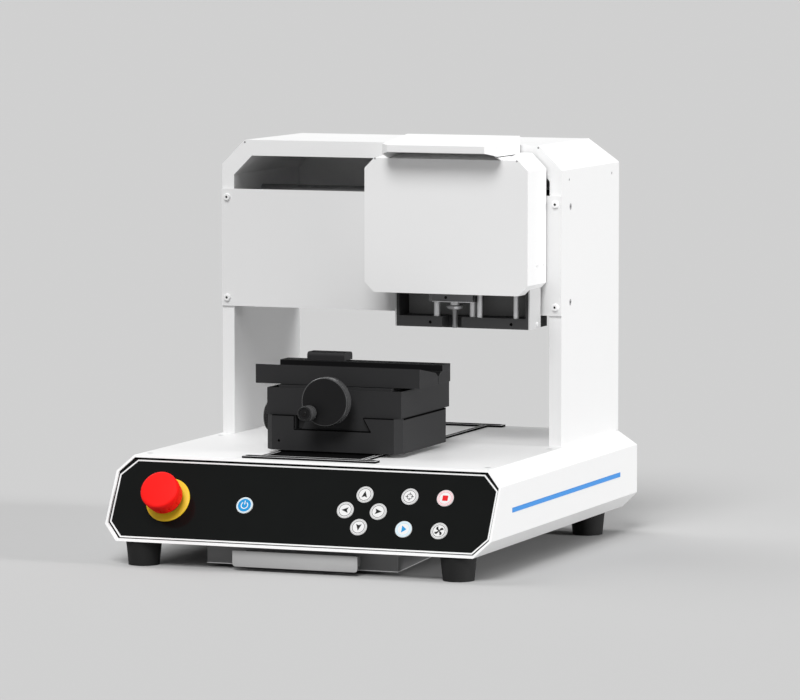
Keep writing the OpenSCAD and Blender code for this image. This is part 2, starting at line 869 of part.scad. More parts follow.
module cover_plate() {
  color(white) difference() {
    box([-portal_w / 2, cover_front, cover_bottom], [portal_w / 2, portal_y, cover_top]);
    for (x = [-cover_screw_x, cover_screw_x], z = cover_screw_z)
      rod_y(x, z, 2 + seat, cover_front - 1, portal_y + 1);
  }
}

module cover_screws() {
  color(white)
    for (x = [-cover_screw_x, cover_screw_x], z = cover_screw_z)
      difference() {
        union() {
          rod_y(x, z, 2, cover_front, portal_y + 6);
          translate([x, cover_front, z]) rotate([90, 0, 0]) cylinder(r1 = 4.2, r2 = 3.2, h = 2.6);
        }
        translate([x, cover_front - 1.2, z]) rotate([90, 0, 0]) cylinder(r = 1.5, h = 2, $fn = 6);
      }
}

module rear_cover() {
  inset = portal_sheet + seat;
  top = crown_line - portal_rear - seat;
  y0 = portal_rear - portal_sheet;
  color(white) {
    difference() {
      prism_y(y0, portal_rear) intersection() {
        portal_outline(inset);
        translate([-far / 2, 0]) square([far, top]);
      }
      box([-bay_w - portal_sheet - seat, y0 - 1, base_top - 1],
        [bay_w + portal_sheet + seat, portal_rear + 1, cover_bottom]);
    }
    box([-bay_w + seat, portal_y + 26, cover_bottom], [bay_w - seat, y0, cover_bottom + portal_sheet]);
  }
}

// ---- X drive ----

x_screw_left = -bay_w + motor_l;

module x_rods() {
  color(steel)
    for (z = [x_rod_z_low, x_rod_z_high]) rod_x(x_rod_y, z, x_rod_r, -bay_w, bay_w);
}

module x_lead_screw() {
  color(steel) rod_x(x_rod_y, x_screw_z, screw_r, x_screw_left - 10, bay_w - 1);
}

module x_motor() {
  color(black) translate([x_screw_left, x_rod_y, x_screw_z]) rotate([0, 90, 0])
    motor(motor_w, motor_l, screw_r);
}

module x_carriage() {
  x0 = head_x - carriage_w / 2;
  x1 = head_x + carriage_w / 2;
  y1 = carriage_front + carriage_d;
  color(grey) difference() {
    union() {
      box([x0, carriage_front, x_rod_z_low - 18], [x1, y1, x_rod_z_high + 18]);
      box([x0 - 20, carrier_y, foot_plate_top], [x1 + 20, carrier_y + carrier_t, cover_top + 28]);
      box([x0 + 15, carrier_y + carrier_t, x_rod_z_low - 8], [x1 - 15, carriage_front, x_rod_z_high + 8]);
      box([x0 + 10, frame_back, cover_top + 6], [x1 - 10, carrier_y, cover_top + 26]);
    }
    for (z = [x_rod_z_low, x_rod_z_high]) rod_x(x_rod_y, z, x_rod_r + run_fit, x0 - 1, x1 + 1);
    rod_x(x_rod_y, x_screw_z, screw_r + turn_fit, x0 - 1, x1 + 1);
  }
}

// ---- head ----

module head_section(inset) {
  low_cut = inner_cut(head_chamfer, inset);
  high = head_top + head_rise + 1 - inset;
  high_cut = inner_cut(head_chamfer + head_rise + 1, inset);
  cut_rect([head_x - head_w / 2 + inset, head_z + inset], [head_x + head_w / 2 - inset, high],
    low_cut, high_cut);
}

module head_cover() {
  x0 = head_x - head_w / 2;
  x1 = head_x + head_w / 2;
  s = head_sheet;
  color(white) difference() {
    intersection() {
      prism_y(head_front, head_rear) head_section(0);
      prism_x(x0, x1) polygon([[head_front, head_z], [head_rear, head_z],
        [head_rear, head_top + head_rise], [head_front, head_top]]);
    }
    intersection() {
      prism_y(head_front, head_rear + 1) head_section(s);
      prism_x(x0, x1) polygon([[head_front + s, head_z], [head_rear + 1, head_z],
        [head_rear + 1, head_top + head_rise - s], [head_front + s, head_top - s]]);
    }
    box([x0 + head_chamfer + 2, head_front + s, head_z - 1],
      [x1 - head_chamfer - 2, head_rear + 1, head_z + s + 1]);
    box([cage_x0 - 2, frame_front_y - 1, head_z - 1], [cage_x1 + 2, head_rear + 1, head_z + 15.4]);
  }
}

hood_drop = 15;
hood_mid = axis_x;

module hood() {
  x0 = hood_mid - hood_w / 2;
  x1 = hood_mid + hood_w / 2;
  y0 = head_front - hood_overhang;
  t = head_sheet;
  slope = tan(head_slope);
  depth = head_rear - y0;
  top = head_top + hood_drop;
  base = head_top + seat;
  color(white) difference() {
    intersection() {
      prism_x(x0, x1) polygon([[y0, top - hood_lip], [head_front, base], [head_rear, base + head_rise],
        [head_rear, top + depth * slope], [y0, top]]);
      translate([0, 0, head_top - 10]) linear_extrude(hood_drop + 40)
        polygon([[x0 + hood_chamfer, y0], [x1 - hood_chamfer, y0], [x1, y0 + hood_chamfer],
          [x1, head_rear], [x0, head_rear], [x0, y0 + hood_chamfer]]);
    }
    intersection() {
      prism_x(x0 + t, x1 - t) polygon([[y0 + t, base - 5], [head_rear - t, base - 5],
        [head_rear - t, top + (depth - t) * slope - t], [y0 + t, top + t * slope - t]]);
      translate([0, 0, head_top - 10]) linear_extrude(hood_drop + 40)
        polygon([[x0 + hood_chamfer + t / 2, y0], [x1 - hood_chamfer - t / 2, y0],
          [x1, y0 + hood_chamfer + t / 2], [x1, head_rear], [x0, head_rear],
          [x0, y0 + hood_chamfer + t / 2]]);
    }
  }
}

notch_half = 11;

module head_frame() {
  y0 = frame_front_y;
  y1 = frame_back - frame_plate_t;
  step = head_z + 15.5;
  wide0 = head_x - head_w / 2 + head_sheet + slip;
  wide1 = head_x + head_w / 2 - head_sheet - slip;
  color(black) {
    difference() {
      union() {
        box([cage_x0, y0, foot_plate_z], [cage_x1, carrier_y + carrier_t, foot_plate_top]);
        for (x = [cage_x0, cage_x1 - 3]) box([x, y0, foot_plate_top], [x + 3, y1, step]);
        box([cage_x0, y1, foot_plate_top], [cage_x1, frame_back, step]);
        prism_y(y1, frame_back) cut_rect([wide0, step], [wide1, head_top - 11], 0.01, 8);
      }
      box([axis_x - notch_half, y0 - 1, foot_plate_z - 1],
        [axis_x + notch_half, axis_y + notch_half, foot_plate_top + 1]);
      for (x = [cage_x0 + 37.5, cage_x1 - 19]) rod_y(x, foot_plate_z + 5, 1.8, y0 - 1, y0 + 6);
    }
  }
}

module head_skins() {
  t = 1.5;
  color(white)
    for (x = [cage_x0 - t, cage_x1])
      difference() {
        box([x, frame_front_y, foot_plate_z], [x + t, frame_back + 1, head_z + 15]);
        rod_x(frame_front_y + 21.5, foot_plate_z + 4.5, 1.6, x - 1, x + t + 1);
      }
}

module z_tower() {
  x0 = cage_x0 + 4;
  x1 = cage_x1 - 4;
  y1 = frame_back - frame_plate_t;
  color(steel) {
    difference() {
      box([x0, frame_front_y + 2, tower_z], [x1, y1, tower_z + tower_t]);
      box([axis_x - spindle_r - 2, frame_front_y, tower_z - 1],
        [axis_x + spindle_r + 2, axis_y + spindle_r + 2, tower_z + tower_t + 1]);
      rod_z(z_screw_x, z_screw_y, z_screw_r + turn_fit, tower_z - 1, tower_z + tower_t + 1);
    }
    for (s = [-1, 1]) rod_z(axis_x + s * z_rod_x, axis_y, z_rod_r, foot_plate_top, tower_z);
    for (x = [post_a_x, post_b_x]) rod_z(x, post_y, post_r, foot_plate_top, tower_z);
  }
}

module z_motor() {
  color(black) translate([z_screw_x, z_screw_y, tower_z + tower_t]) mirror([0, 0, 1])
    motor(z_motor_w, z_motor_h, z_screw_r);
}

module z_lead_screw() {
  color(steel) rod_z(z_screw_x, z_screw_y, z_screw_r, arm_z - spindle_down - 2, tower_z + tower_t + 10);
}

// ---- spindle ----

module spindle_block() {
  color(grey) difference() {
    union() {
      box([axis_x - block_half, block_front, block_z],
        [axis_x + block_half, block_front + block_d, block_z + block_h]);
      box([axis_x + block_half, block_front + block_d - 12, arm_z],
        [z_screw_x + 8, block_front + block_d, arm_z + arm_h]);
      box([z_screw_x - 8, z_screw_y - 8, arm_z], [z_screw_x + 8, block_front + block_d, arm_z + arm_h]);
    }
    for (s = [-1, 1])
      rod_z(axis_x + s * z_rod_x, axis_y, z_rod_r + run_fit, block_z - 1, block_z + block_h + 1);
    rod_z(axis_x, axis_y, spindle_r + seat, block_z - 1, block_z + block_h + 1);
    rod_z(z_screw_x, z_screw_y, z_screw_r + turn_fit, arm_z - 1, arm_z + arm_h + 1);
    rod_y(axis_x - 8, block_z + 4, 1.6, block_front - 1, block_front + 3);
  }
}

module spindle_motor() {
  color(black) difference() {
    rod_z(axis_x, axis_y, spindle_r, block_z + 1, block_z + block_h + 22);
    rod_z(axis_x, axis_y, 5 + turn_fit, block_z - 1, block_z + 16);
  }
}

module spindle_collet() {
  color(steel) difference() {
    union() {
      rod_z(axis_x, axis_y, 5, collet_z + 3, block_z + 14);
      translate([axis_x, axis_y, collet_z]) cylinder(r1 = collet_r - 2, r2 = collet_r, h = 1.5);
      rod_z(axis_x, axis_y, collet_r, collet_z + 1.5, collet_z + 3);
    }
    rod_z(axis_x, axis_y, cutter_r, collet_z - 1, collet_z + 16);
  }
}

module cutter() {
  tip = cutter_r - 0.3;
  color(steel) {
    rod_z(axis_x, axis_y, cutter_r, collet_z - cutter_l + tip, collet_z + 15);
    translate([axis_x, axis_y, collet_z - cutter_l]) cylinder(r1 = 0.3, r2 = cutter_r, h = tip);
  }
}

// ---- vise ----

// the dovetail way in the lower block, in X and Z
module dovetail_way() {
  right = tongue_right + gib_gap;
  left = tongue_left - gib_t - 2 * gib_gap;
  polygon([[left, way_z], [right, way_z], [right - flank, vise_top], [right - flank, vise_top + 1],
    [left, vise_top + 1]]);
}

module vise_base() {
  c = vise_chamfer;
  half = vise_w / 2;
  y0 = vise_front;
  y1 = vise_front + vise_d;
  left = tongue_left - gib_t - gib_gap;
  color(black) {
    difference() {
      translate([0, 0, vise_z]) linear_extrude(vise_h)
        polygon([[-half + c, y0], [half - c, y0], [half, y0 + c], [half, y1], [-half, y1], [-half, y0 + c]]);
      prism_y(y0 - 1, y1 + 1) dovetail_way();
      rod_x(lock_y, lock_z, 3 + turn_fit, -half - 1, -half + 18);
      rod_y(-half + 15.5, vise_z + 9.5, 1.5, y0 - 1, y0 + 4);
    }
    prism_y(y0 + gib_in, y1 - 4)
      polygon([[left, way_z], [left + gib_t, way_z], [left + gib_t + flank, vise_top], [left, vise_top]]);
  }
}

module vise_slide() {
  y0 = slide_front;
  y1 = slide_front + slide_d;
  color(black) difference() {
    union() {
      box([-slide_half_w, y0, slide_z], [slide_half_w, y1, slide_top]);
      box([-slide_half_w + 12, y0 + 3, slide_top], [slide_half_w - 12, y1 - 3, way_top]);
      prism_y(y0, vise_front + vise_d)
        polygon([[tongue_left, way_z + gib_gap], [tongue_right, way_z + gib_gap],
          [tongue_right - flank, slide_z], [tongue_left + flank, slide_z]]);
    }
    box([-groove_half, groove_front, groove_z], [groove_half, groove_rear, way_top + 1]);
    rod_y(0, screw_z, vise_screw_r + turn_fit, y0 - 1, groove_rear + 4);
  }
}

module jaw_front() {
  y0 = jaw_front_y;
  y1 = jaw_seam;
  color(black) difference() {
    union() {
      prism_x(-jaw_w / 2, jaw_w / 2)
        polygon([[y0, jaw_z], [y1, jaw_z], [y1, seam_z - seam_chamfer_h], [y1 - seam_chamfer_w, seam_z],
          [y0, jaw_z + jaw_h]]);
      box([-groove_half + slip, y1 - nut_l - nut_in, groove_z + slip],
        [groove_half - slip, y1 - nut_in, jaw_z]);
    }
    rod_y(0, screw_z, vise_screw_r + turn_fit, y1 - nut_l - nut_in - 1, y1 - nut_in + 1);
  }
}

module jaw_rear() {
  y0 = jaw_rear_y;
  y1 = y0 + jaw_rear_d;
  color(black) difference() {
    union() {
      prism_x(-jaw_w / 2, jaw_w / 2)
        polygon([[y0, jaw_z], [y1, jaw_z], [y1, seam_z], [y0 + seam_chamfer_w, seam_z],
          [y0, seam_z - seam_chamfer_h]]);
      box([-groove_half + slip, y0 + nut_in, groove_z + slip],
        [groove_half - slip, y0 + nut_in + nut_l, jaw_z]);
    }
    rod_y(0, screw_z, vise_screw_r + turn_fit, y0 + nut_in - 1, y0 + nut_in + nut_l + 1);
  }
}

module work_stop() {
  r = 4;
  y1 = jaw_rear_y + jaw_rear_d;
  z1 = seam_z + stop_plate_t;
  top = z1 + stop_block_h;
  color(black) {
    box([-jaw_w / 2, y1 - stop_plate_d, seam_z], [jaw_w / 2, y1, z1]);
    prism_x(block_x, block_x + stop_block_w)
      polygon(concat([[block_y, z1]],
        [for (a = [180:-15:90]) [block_y + r + r * cos(a), top - r + r * sin(a)]],
        [for (a = [90:-15:0]) [block_y + stop_block_d - r + r * cos(a), top - r + r * sin(a)]],
        [[block_y + stop_block_d, z1]]));
  }
}

module vise_screw() {
  color(steel) rod_y(0, screw_z, vise_screw_r, wheel_front + 6, groove_rear + 3);
}

module vise_wheel() {
  color(black) {
    difference() {
      union() {
        rod_y(0, screw_z, wheel_r, wheel_front, wheel_back);
        rod_y(0, screw_z, 10, wheel_back, slide_front - slip);
      }
      rod_y(0, screw_z, vise_screw_r, wheel_front + 6, slide_front + 1);
    }
    rod_y(crank_dx, screw_z + crank_dz, crank_pin_r, crank_front + 2, wheel_front + 1);
  }
}

module crank_handle() {
  color(black) difference() {
    rod_y(crank_dx, screw_z + crank_dz, crank_r, crank_front, wheel_front - 0.8);
    rod_y(crank_dx, screw_z + crank_dz, crank_pin_r + turn_fit, crank_front + 2 - turn_fit, wheel_front + 1);
  }
}

module lock_knob() {
  side = -vise_w / 2;
  color(black) {
    rod_x(lock_y, lock_z, lock_r, side - 10 - lock_t, side - 10);
    rod_x(lock_y, lock_z, 7, side - 10, side - slip);
    rod_x(lock_y, lock_z, 3, side - slip, side + 16);
  }
}

// ---- rear and electronics ----

module power_inlet() {
  y1 = base_rear;
  in = seat;
  color(black) difference() {
    union() {
      box([inlet_x - inlet_w / 2 + in, y1 - 26, inlet_z - inlet_h / 2 + in],
        [inlet_x + inlet_w / 2 - in, y1, inlet_z + inlet_h / 2 - in]);
      box([inlet_x - inlet_w / 2 - 3, y1, inlet_z - inlet_h / 2 - 3],
        [inlet_x + inlet_w / 2 + 3, y1 + 2, inlet_z + inlet_h / 2 + 3]);
    }
    box([inlet_x - 13, y1 - 16, inlet_z - 9], [inlet_x + 13, y1 + 3, inlet_z + 9]);
  }
}

module fan_frame() {
  h = fan_side / 2;
  color(black) {
    difference() {
      box([fan_x - h, fan_y - fan_t, fan_z - h], [fan_x + h, fan_y, fan_z + h]);
      rod_y(fan_x, fan_z, fan_r, fan_y - fan_t - 1, fan_y + 1);
    }
    rod_y(fan_x, fan_z, 10, fan_y - fan_t, fan_y - fan_t + 3);
    for (a = [45:90:315])
      translate([fan_x, fan_y - fan_t + 2, fan_z]) rotate([0, a, 0])
        translate([9, -2, -1.5]) cube([fan_r - 8, 2.5, 3]);
    for (r = [9, 18])
      rotate_about_fan() rotate_extrude() translate([r, 0]) square([1.4, 1.2]);
    for (a = [0:90:270])
      translate([fan_x, fan_y, fan_z]) rotate([0, a + 45, 0]) translate([0, 0, -0.8])
        translate([0.5, -1.2, 0]) cube([fan_r + 0.5, 1.2, 1.6]);
  }
}

module rotate_about_fan() {
  translate([fan_x, fan_y, fan_z]) rotate([90, 0, 0]) children();
}

module fan_rotor() {
  y0 = fan_y - fan_t + 3.4;
  color([0.2, 0.2, 0.2]) {
    rod_y(fan_x, fan_z, fan_hub_r, y0, y0 + 8);
    for (i = [0:fan_blades - 1])
      translate([fan_x, y0 + 4, fan_z]) rotate([0, i * 360 / fan_blades, 0])
        translate([fan_hub_r - 0.5, 0, 0]) rotate([40, 0, 0])
          translate([0, -0.6, -4.5]) cube([fan_r - fan_hub_r - 1, 1.2, 9]);
  }
}

module control_board() {
  y1 = base_rear - circuit_rear;
  y0 = y1 - circuit_l;
  x1 = circuit_x + circuit_w;
  top = circuit_z + circuit_t;
  color([0.1, 0.35, 0.2]) {
    box([circuit_x, y0, circuit_z], [x1, y1, top]);
    for (x = [circuit_x + 5, x1 - 5], y = [y0 + 5, y1 - 5]) rod_z(x, y, 3, plate_top, circuit_z);
    for (i = [0:2])
      box([circuit_x + 10 + i * 26, y0 + 15, top], [circuit_x + 28 + i * 26, y0 + 40, circuit_z + 14]);
    box([circuit_x + 30, y0 + 60, top], [circuit_x + 60, y0 + 90, circuit_z + 5]);
    box([usb_x - usb_w / 2, y1 - 20, top], [usb_x + usb_w / 2, base_rear - 1, usb_z + usb_h]);
  }
}

module power_supply() {
  x1 = base_w / 2 - base_chamfer - base_lip;
  y1 = base_rear - supply_rear;
  color(steel) box([x1 - supply_w, y1 - supply_l, plate_top], [x1, y1, plate_top + supply_h]);
}

base_shell();
bottom_plate();
control_panel();
side_stripes();
rubber_feet();
e_stop_ring();
e_stop_collar();
e_stop_stem();
e_stop_head();
color(white) push_button(power_at);  // button_power
color(white) push_button(up_at);  // button_up
color(white) push_button(left_at);  // button_left
color(white) push_button(right_at);  // button_right
color(white) push_button(down_at);  // button_down
color(white) push_button(focus_at);  // button_focus
color(white) push_button(stop_at);  // button_stop
color(white) push_button(play_at);  // button_play
color(white) push_button(fan_at);  // button_fan
button_board();
chip_tray();
tray_pull();
slide_frame();
y_table();
y_carriage();
y_guides();
y_lead_screw();
y_motor();
gantry_shell();
cover_plate();
cover_screws();
rear_cover();
x_rods();
x_lead_screw();
x_motor();
x_carriage();
head_frame();
head_skins();
head_cover();
hood();
z_tower();
z_motor();
z_lead_screw();
spindle_block();
spindle_motor();
spindle_collet();
cutter();
vise_base();
vise_slide();
jaw_front();
jaw_rear();
work_stop();
vise_screw();
vise_wheel();
crank_handle();
lock_knob();
power_inlet();
fan_frame();
fan_rotor();
control_board();
power_supply();
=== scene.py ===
import bpy
import bmesh
import math
from mathutils import Matrix, Vector


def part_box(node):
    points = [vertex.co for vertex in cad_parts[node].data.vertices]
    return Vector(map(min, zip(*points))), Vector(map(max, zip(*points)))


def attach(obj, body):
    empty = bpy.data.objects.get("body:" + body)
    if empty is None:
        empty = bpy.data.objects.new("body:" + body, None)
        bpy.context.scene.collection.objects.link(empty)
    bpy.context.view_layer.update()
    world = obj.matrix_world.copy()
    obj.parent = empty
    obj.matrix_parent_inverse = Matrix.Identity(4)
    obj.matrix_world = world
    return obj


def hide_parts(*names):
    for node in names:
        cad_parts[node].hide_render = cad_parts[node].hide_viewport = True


# Desktop engraving machine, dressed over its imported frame.
# Lengths in the helpers below are millimetres; the scene itself is in metres.
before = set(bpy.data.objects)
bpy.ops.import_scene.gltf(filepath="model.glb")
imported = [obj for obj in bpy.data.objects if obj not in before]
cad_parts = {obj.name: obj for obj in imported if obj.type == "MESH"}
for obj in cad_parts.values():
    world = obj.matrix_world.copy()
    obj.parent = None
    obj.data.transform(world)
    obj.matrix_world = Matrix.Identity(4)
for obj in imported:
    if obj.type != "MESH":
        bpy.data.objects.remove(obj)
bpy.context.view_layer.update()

MM = 0.001
UP, DOWN, FRONT, REAR, RIGHT, LEFT = (0, 0, 1), (0, 0, -1), (0, -1, 0), (0, 1, 0), (1, 0, 0), (-1, 0, 0)
BOTH = (-1, 1)

# The sloped panel: its lower edge, its lean from upright, how deep its face and the button caps lie,
# and how thick a printed mark is.
PANEL_FOOT = (0, -232.5, 25)
LEAN = math.radians(29.8)
PANEL_FACE = -2.5
BUTTON_FACE = -1.3
INK = 0.06

# The buttons' places across the panel and up its slope.
KEY_ROW, KEY_STEP, ARROW_COLUMN, LEFT_COLUMN, RIGHT_COLUMN = 46.4, 17.8, 66.0, 114.4, 152.4
BUTTONS = {
    "power": (-61.7, KEY_ROW),
    "up": (ARROW_COLUMN, KEY_ROW + KEY_STEP),
    "left": (ARROW_COLUMN - KEY_STEP, KEY_ROW),
    "right": (ARROW_COLUMN + KEY_STEP, KEY_ROW),
    "down": (ARROW_COLUMN, KEY_ROW - KEY_STEP),
    "focus": (LEFT_COLUMN, KEY_ROW + KEY_STEP),
    "stop": (RIGHT_COLUMN, KEY_ROW + KEY_STEP),
    "play": (LEFT_COLUMN, KEY_ROW - KEY_STEP),
    "fan": (RIGHT_COLUMN, KEY_ROW - KEY_STEP),
}
EMERGENCY_STOP = (-147, 48.5)

# The front of the vise's wheel, and the place of the crank on it.
WHEEL_FACE, WHEEL_Z = -144.6, 165.8
CRANK_X, CRANK_Z = -15, 154.8


# ---- places ----

def mm(*numbers):
    return Vector(numbers) * MM


def faces(node):
    """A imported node's left, front and underside, then its right, rear and top, in millimetres."""
    return [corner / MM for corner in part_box(node)]


def middle(node):
    low, high = faces(node)
    return (low + high) / 2


def facing(at, way):
    """A place in millimetres whose +Z looks along a direction."""
    return Matrix.Translation(mm(*at)) @ Vector(way).to_track_quat("Z", "Y").to_matrix().to_4x4()


def on_panel(across, up, lift=PANEL_FACE):
    """A place on the sloped panel: X across, Y up the slope, Z out of it."""
    slope = Matrix.Rotation(math.pi / 2 - LEAN, 4, "X")
    return Matrix.Translation(mm(*PANEL_FOOT)) @ slope @ Matrix.Translation(mm(across, up, lift))


def quarter_turn(quarters):
    return Matrix.Rotation(quarters * math.pi / 2, 4, "Z")


def around(radius, degrees, x=0.0, y=0.0):
    """Points on a circle, at the given angles."""
    return [(x + radius * math.cos(math.radians(angle)), y + radius * math.sin(math.radians(angle)))
            for angle in degrees]


# ---- working on a mesh by hand ----

def put_down():
    if bpy.context.mode != "OBJECT":
        bpy.ops.object.mode_set(mode="OBJECT")
    bpy.ops.object.select_all(action="DESELECT")


def take(piece):
    put_down()
    piece.select_set(True)
    bpy.context.view_layer.objects.active = piece


def fresh(name):
    piece = bpy.context.active_object
    piece.name = name
    piece.data.name = name
    return piece


def pick(piece, kind, test):
    """Opens a piece in edit mode with only those faces, edges or points selected that pass the test."""
    take(piece)
    bpy.ops.object.mode_set(mode="EDIT")
    bpy.ops.mesh.select_mode(type=kind)
    bpy.ops.mesh.select_all(action="DESELECT")
    shape = bmesh.from_edit_mesh(piece.data)
    shape.normal_update()
    for item in {"FACE": shape.faces, "EDGE": shape.edges, "VERT": shape.verts}[kind]:
        points = [item] if kind == "VERT" else item.verts
        centre = sum((p.co for p in points), Vector()) / len(points) / MM
        if test(centre, item):
            item.select_set(True)
    shape.select_flush_mode()
    bmesh.update_edit_mesh(piece.data)


def everything(at, item):
    return True


def select_whole():
    bpy.ops.mesh.select_all(action="SELECT")


def place(piece, matrix):
    """Moves a piece to its place and keeps the place in its mesh."""
    piece.matrix_world = matrix
    take(piece)
    bpy.ops.object.transform_apply(location=True, rotation=True, scale=True)
    return piece


def apply_modifiers(piece):
    take(piece)
    for modifier in list(piece.modifiers):
        bpy.ops.object.modifier_apply(modifier=modifier.name)
    return piece


def soften(piece, width, segments=2, angle=40):
    """Rounds every sharp edge by a small width."""
    bevel = piece.modifiers.new("soft_edges", "BEVEL")
    bevel.width = width * MM
    bevel.segments = segments
    bevel.limit_method = "ANGLE"
    bevel.angle_limit = math.radians(angle)
    return apply_modifiers(piece)


def copy_to(piece, matrix):
    twin = piece.copy()
    twin.data = piece.data.copy()
    bpy.context.collection.objects.link(twin)
    return place(twin, matrix)


def joined(name, parts):
    take(parts[0])
    for part in parts[1:]:
        part.select_set(True)
    if len(parts) > 1:
        bpy.ops.object.join()
    return fresh(name)


# ---- mounting on the machine ----

def mount_piece(piece, body, paint, angle=35):
    """Smooths a finished piece up to an angle, paints it and lets it ride on its body."""
    take(piece)
    bpy.ops.object.shade_smooth_by_angle(angle=math.radians(angle))
    piece.data.materials.clear()
    piece.data.materials.append(PAINT[paint])
    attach(piece, body)
    return piece


def mount_copies(name, model, places, body, paint):
    """Copies a finished model to each place, mounts the copies as one piece and removes the model."""
    made = joined(name, [copy_to(model, spot) for spot in places])
    bpy.data.objects.remove(model)
    return mount_piece(made, body, paint)


def mount_block(name, low, high, bevel, body, paint, segments=2):
    """Makes a rounded block between two corners and mounts it."""
    return mount_piece(block(name, low, high, bevel, segments), body, paint)


# ---- shapes ----

def draw_on(*step):
    bpy.ops.mesh.extrude_region_move(TRANSFORM_OT_translate={"value": mm(*step)})


def draw_line(points):
    """Draws a line of edges through points, and stays in edit mode."""
    put_down()
    bpy.ops.mesh.primitive_plane_add(size=0.001)
    bpy.ops.object.mode_set(mode="EDIT")
    bpy.ops.mesh.select_mode(type="VERT")
    select_whole()
    bpy.ops.mesh.merge(type="CENTER")
    bpy.ops.transform.translate(value=mm(*points[0]))
    for here, there in zip(points, points[1:]):
        draw_on(*(b - a for a, b in zip(here, there)))


def draw_face(outline):
    """Draws a closed outline of (X, Y) points and fills it, and stays in edit mode."""
    draw_line([(x, y, 0) for x, y in outline])
    select_whole()
    bpy.ops.mesh.edge_face_add()


def put_away(name):
    """Turns all faces outwards, leaves edit mode and names the piece."""
    select_whole()
    bpy.ops.mesh.normals_make_consistent(inside=False)
    put_down()
    return fresh(name)


def turned(name, profile, steps=64):
    """A lathe-turned piece round Z: its profile is a list of (radius, height)."""
    draw_line([(radius, 0, height) for radius, height in profile])
    select_whole()
    bpy.ops.mesh.spin(steps=steps, angle=2 * math.pi, center=(0, 0, 0), axis=(0, 0, 1), dupli=False)
    select_whole()
    bpy.ops.mesh.remove_doubles(threshold=1e-6)
    return put_away(name)


def strip_of(at, steps):
    """The number of the strip that a face of a turned piece lies in."""
    return round(math.degrees(math.atan2(at.y, at.x)) * steps / 360.0 - 0.5)


def cut_plate(name, outline, thickness):
    """A flat plate with a drawn outline, its underside on Z = 0."""
    draw_face(outline)
    draw_on(0, 0, thickness)
    return put_away(name)


def flat_ring(name, outer, inner, sides=64, gap=0):
    """A printed ring, or an arc of one where a gap in degrees is left open round +Y."""
    put_down()
    bpy.ops.mesh.primitive_circle_add(vertices=sides, radius=outer * MM, fill_type="NOTHING")
    ring = fresh(name)
    if gap:
        pick(ring, "VERT", lambda at, v: abs(math.degrees(math.atan2(at.x, at.y))) < gap / 2)
        bpy.ops.mesh.delete(type="VERT")
    pick(ring, "VERT", everything)
    bpy.ops.mesh.extrude_region_move()
    bpy.ops.transform.resize(value=(inner / outer, inner / outer, 1), center_override=(0, 0, 0))
    bpy.ops.mesh.select_mode(type="FACE")
    select_whole()
    draw_on(0, 0, INK)
    return put_away(name)


def block(name, low, high, bevel=0.0, segments=2):
    """A box between two corners with its edges rounded."""
    put_down()
    bpy.ops.mesh.primitive_cube_add(size=1, location=(mm(*low) + mm(*high)) / 2,
                                    scale=mm(*(b - a for a, b in zip(low, high))))
    bpy.ops.object.transform_apply(location=True, rotation=True, scale=True)
    box = fresh(name)
    if bevel:
        pick(box, "EDGE", everything)
        bpy.ops.mesh.bevel(offset=bevel * MM, segments=segments, affect="EDGES")
        put_down()
    return box


# ---- effects that several finishes share ----

def add_node(tree, kind, inputs, **settings):
    """Adds a shader node with its settings; an input is a value, or the socket that it is linked from."""
    node = tree.nodes.new("ShaderNode" + kind)
    for label, value in settings.items():
        setattr(node, label, value)
    for socket, value in inputs.items():
        if isinstance(value, bpy.types.NodeSocket):
            tree.links.new(value, node.inputs[socket])
        else:
            node.inputs[socket].default_value = value
    return node.outputs


def mix_colours(tree, share, first, second):
    """Mixes two colours; each argument is a value or a socket."""
    return add_node(tree, "Mix", {0: share, 6: first, 7: second}, data_type="RGBA")[2]


def effect(name, inputs, outputs):
    """A new node group's tree and the sockets at its two ends; an input is a kind or a first value."""
    tree = bpy.data.node_groups.new(name, "ShaderNodeTree")
    for label, start in inputs.items():
        kind = start if isinstance(start, str) else "Float"
        made = tree.interface.new_socket(name=label, in_out="INPUT", socket_type="NodeSocket" + kind)
        if kind == "Float":
            made.default_value = start
    for label, kind in outputs.items():
        tree.interface.new_socket(name=label, in_out="OUTPUT", socket_type="NodeSocket" + kind)
    return tree, tree.nodes.new("NodeGroupInput").outputs, tree.nodes.new("NodeGroupOutput").inputs


def grain_effect():
    """Fine grain and slow patches; grain is for bumps and patches are for colour and gloss."""
    tree, given, out = effect(
        "surface_grain",
        {"Place": "Vector", "Grain per metre": 1500.0, "Patches per metre": 25.0},
        {"Grain": "Float", "Patches": "Float"})
    fine = add_node(tree, "TexNoise", {
        "Vector": given["Place"], "Scale": given["Grain per metre"], "Detail": 3.0})
    slow = add_node(tree, "TexNoise", {
        "Vector": given["Place"], "Scale": given["Patches per metre"], "Detail": 4.0, "Roughness": 0.6})
    tree.links.new(fine["Fac"], out["Grain"])
    tree.links.new(slow["Fac"], out["Patches"])
    return tree


